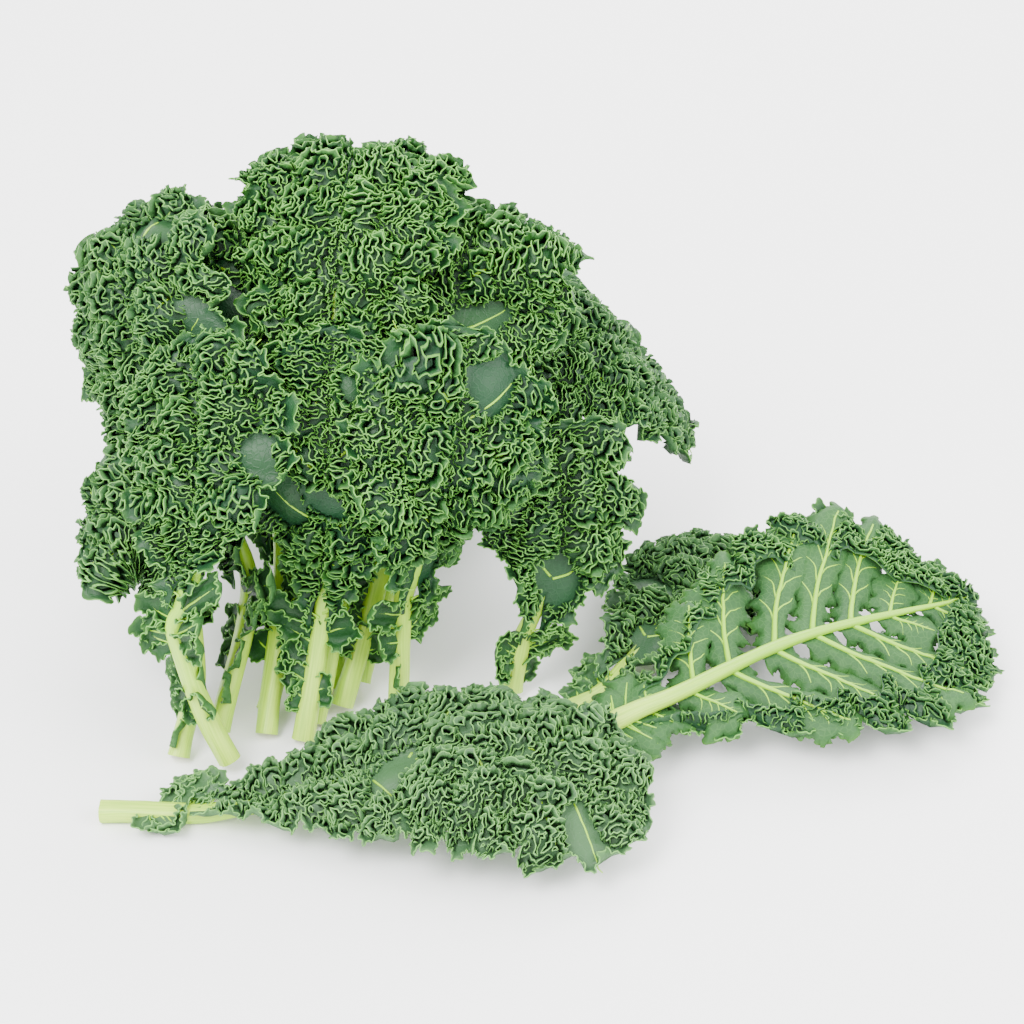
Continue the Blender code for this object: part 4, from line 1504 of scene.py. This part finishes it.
class KaleBladeSettings(bpy.types.PropertyGroup):
    reach: share_setting("Reach", 0.94, "How far the blades reach towards the outline")
    notch_pitch: length_setting("Notch Pitch", 0.034, "Distance between notches in the margin")
    puff_pitch: length_setting("Puff Pitch", 0.034, "Distance between the puffs")
    puff_height: length_setting("Puff Height", 0.016, "Most that a puff stands up")
    smooth_share: share_setting("Smooth Share", 0.075, "Share of the puffs without curls")
    curl_pitch: length_setting("Curl Pitch", 0.0047, "Length of the labyrinth's waves")
    curl_height: length_setting("Curl Height", 0.0068, "Height of the curls on the blades")
    sway: length_setting("Sway", 0.0012, "How far the rims of the curls sway")
    crimp_size: length_setting("Crimp Size", 0.0009, "How far the rims are crimped")
    crimp_pitch: length_setting("Crimp Pitch", 0.0042, "Length of the crimps")
    spread: share_setting("Spread", 0.6, "How far the curls spread out over the puffs")
    edge_height: length_setting("Edge Height", 0.0065, "Height of the frill on the margins")
    edge_flare: length_setting("Edge Flare", 0.002, "How far the margins' frill leans out")
    frill_height: length_setting("Frill Height", 0.009, "Height of the frill on the lobes")
    frill_onset: length_setting("Frill Onset", 0.006, "Margin over which a frill grows to full")
    flare: length_setting("Flare", 0.002, "How far the leaflets' frills lean outwards")
    lean: length_setting("Lean", 0.002, "How far the frills sway either way")
    fold_pitch: length_setting("Fold Pitch", 0.016, "Length of a frill's wide folds")
    frill_pitch: length_setting("Frill Pitch", 0.0060, "Length of a frill's curls")
    open_lobe_pitch: length_setting("Open Lobe Pitch", 0.036,
                                    "Midrib taken by each lobe of the turned leaf")
    lobe_reach: share_setting("Lobe Reach", 0.97,
                              "How far the turned leaf's lobes reach to its edge")
    open_share: share_setting("Open Share", 0.70,
                              "Share of the turned leaf inside its curly margin")
    open_curl_height: length_setting("Margin Curl Height", 0.0055,
                                     "Height of the turned leaf's margin curls")
    open_flare: length_setting("Open Flare", 0.005,
                               "How far the turned leaf's frills lean outwards")
    roll: length_setting("Roll", 0.012, "How far the turned leaf's margin rolls down")
    leaflets: bpy.props.IntProperty(name="Leaflets", default=9, min=0,
                                    description="Small leaflets on each bare stem")
    thickness: length_setting("Thickness", 0.0008, "Thickness of the blade")


class KaleStemSettings(bpy.types.PropertyGroup):
    swell: share_setting("Swell", 0.12, "How much wider than its solid a bare stem is")
    groove: share_setting("Groove", 0.22, "Depth of the groove along a stem")
    vein_radius: length_setting("Vein Radius", 0.0011, "Radius of a side vein at the midrib")
    open_vein_radius: length_setting("Open Vein Radius", 0.0021,
                                     "Radius of the turned leaf's side veins")


class KaleStudioSettings(bpy.types.PropertyGroup):
    distance: length_setting("Distance", 1.7, "From camera to bunch")
    elevation: angle_setting("Elevation", math.radians(33.0), "Camera above the table")
    view: angle_setting("View", 2.0 * math.atan(512.0 / 2465.0),
                        "Angle that the camera takes in")

class KALE_OT_leaves(bpy.types.Operator):
    """Grow the ruffled blades and veined stems over their solids"""
    bl_idname = "kale.leaves"
    bl_label = "Curly Leaves"

    def execute(self, context):
        finishes = leaf_finishes()
        for number, laid in enumerate(laid_leaves()):
            build_leaf(laid, number, context.scene.kale_blades, context.scene.kale_stems,
                       finishes)
        return {"FINISHED"}


class KALE_OT_studio(bpy.types.Operator):
    """Set up the pale floor, the soft light and the camera"""
    bl_idname = "kale.studio"
    bl_label = "Studio"

    def execute(self, context):
        studio = context.scene.kale_studio
        mesh = bpy.data.meshes.new("studio_floor")
        mesh.from_pydata([(-6, -6, 0), (6, -6, 0), (6, 6, 0), (-6, 6, 0)], [], [(0, 1, 2, 3)])
        floor = add_object("studio_floor", mesh)
        material, tree, shader = principled("pale_floor")
        fill_sockets(tree, shader, {"Base Color": (0.94, 0.94, 0.94, 1.0), "Roughness": 0.9})
        mesh.materials.append(material)
        for name, place, size, power in LIGHTS:
            light = bpy.data.lights.new(name, "AREA")
            light.shape = "DISK"
            light.size = size
            light.energy = power
            lamp = add_object(name, light)
            lamp.location = place
            aim = Vector(place) - LIT_PLACE
            lamp.rotation_euler = aim.to_track_quat("Z", "Y").to_euler()
        world = bpy.data.worlds.new("studio_air")
        world.use_nodes = True
        fill_sockets(world.node_tree, world.node_tree.nodes["Background"],
                     {"Color": (1.0, 1.0, 1.0, 1.0), "Strength": 3.0})
        context.scene.world = world
        camera = bpy.data.cameras.new("camera")
        camera.lens_unit = "FOV"
        camera.angle = studio.view
        camera.clip_end = 50.0
        view = add_object("camera", camera)
        back = Vector((0.0, -math.cos(studio.elevation), math.sin(studio.elevation)))
        view.location = LIT_PLACE + CENTRE_SHIFT + back * studio.distance
        view.rotation_euler = back.to_track_quat("Z", "Y").to_euler()
        context.scene.camera = view
        return {"FINISHED"}


class KALE_PT_panel(bpy.types.Panel):
    """Sizes and steps of the kale bunch"""
    bl_label = "Curly Kale"
    bl_space_type = "VIEW_3D"
    bl_region_type = "UI"
    bl_category = "Kale"

    def draw(self, context):
        for group in SETTINGS:
            settings = getattr(context.scene, group)
            for name in settings.__annotations__:
                self.layout.prop(settings, name)
        for operator in STEPS:
            self.layout.operator(operator.bl_idname)


SETTINGS = {"kale_blades": KaleBladeSettings, "kale_stems": KaleStemSettings,
            "kale_studio": KaleStudioSettings}
STEPS = (KALE_OT_leaves, KALE_OT_studio)
CLASSES = (*SETTINGS.values(), *STEPS, KALE_PT_panel)


def register():
    for item in CLASSES:
        bpy.utils.register_class(item)
    for group, settings in SETTINGS.items():
        setattr(bpy.types.Scene, group, bpy.props.PointerProperty(type=settings))


def unregister():
    for group in SETTINGS:
        delattr(bpy.types.Scene, group)
    for item in reversed(CLASSES):
        bpy.utils.unregister_class(item)


def main():
    register()
    bpy.ops.kale.leaves()
    bpy.ops.kale.studio()


if __name__ == "__main__":
    main()
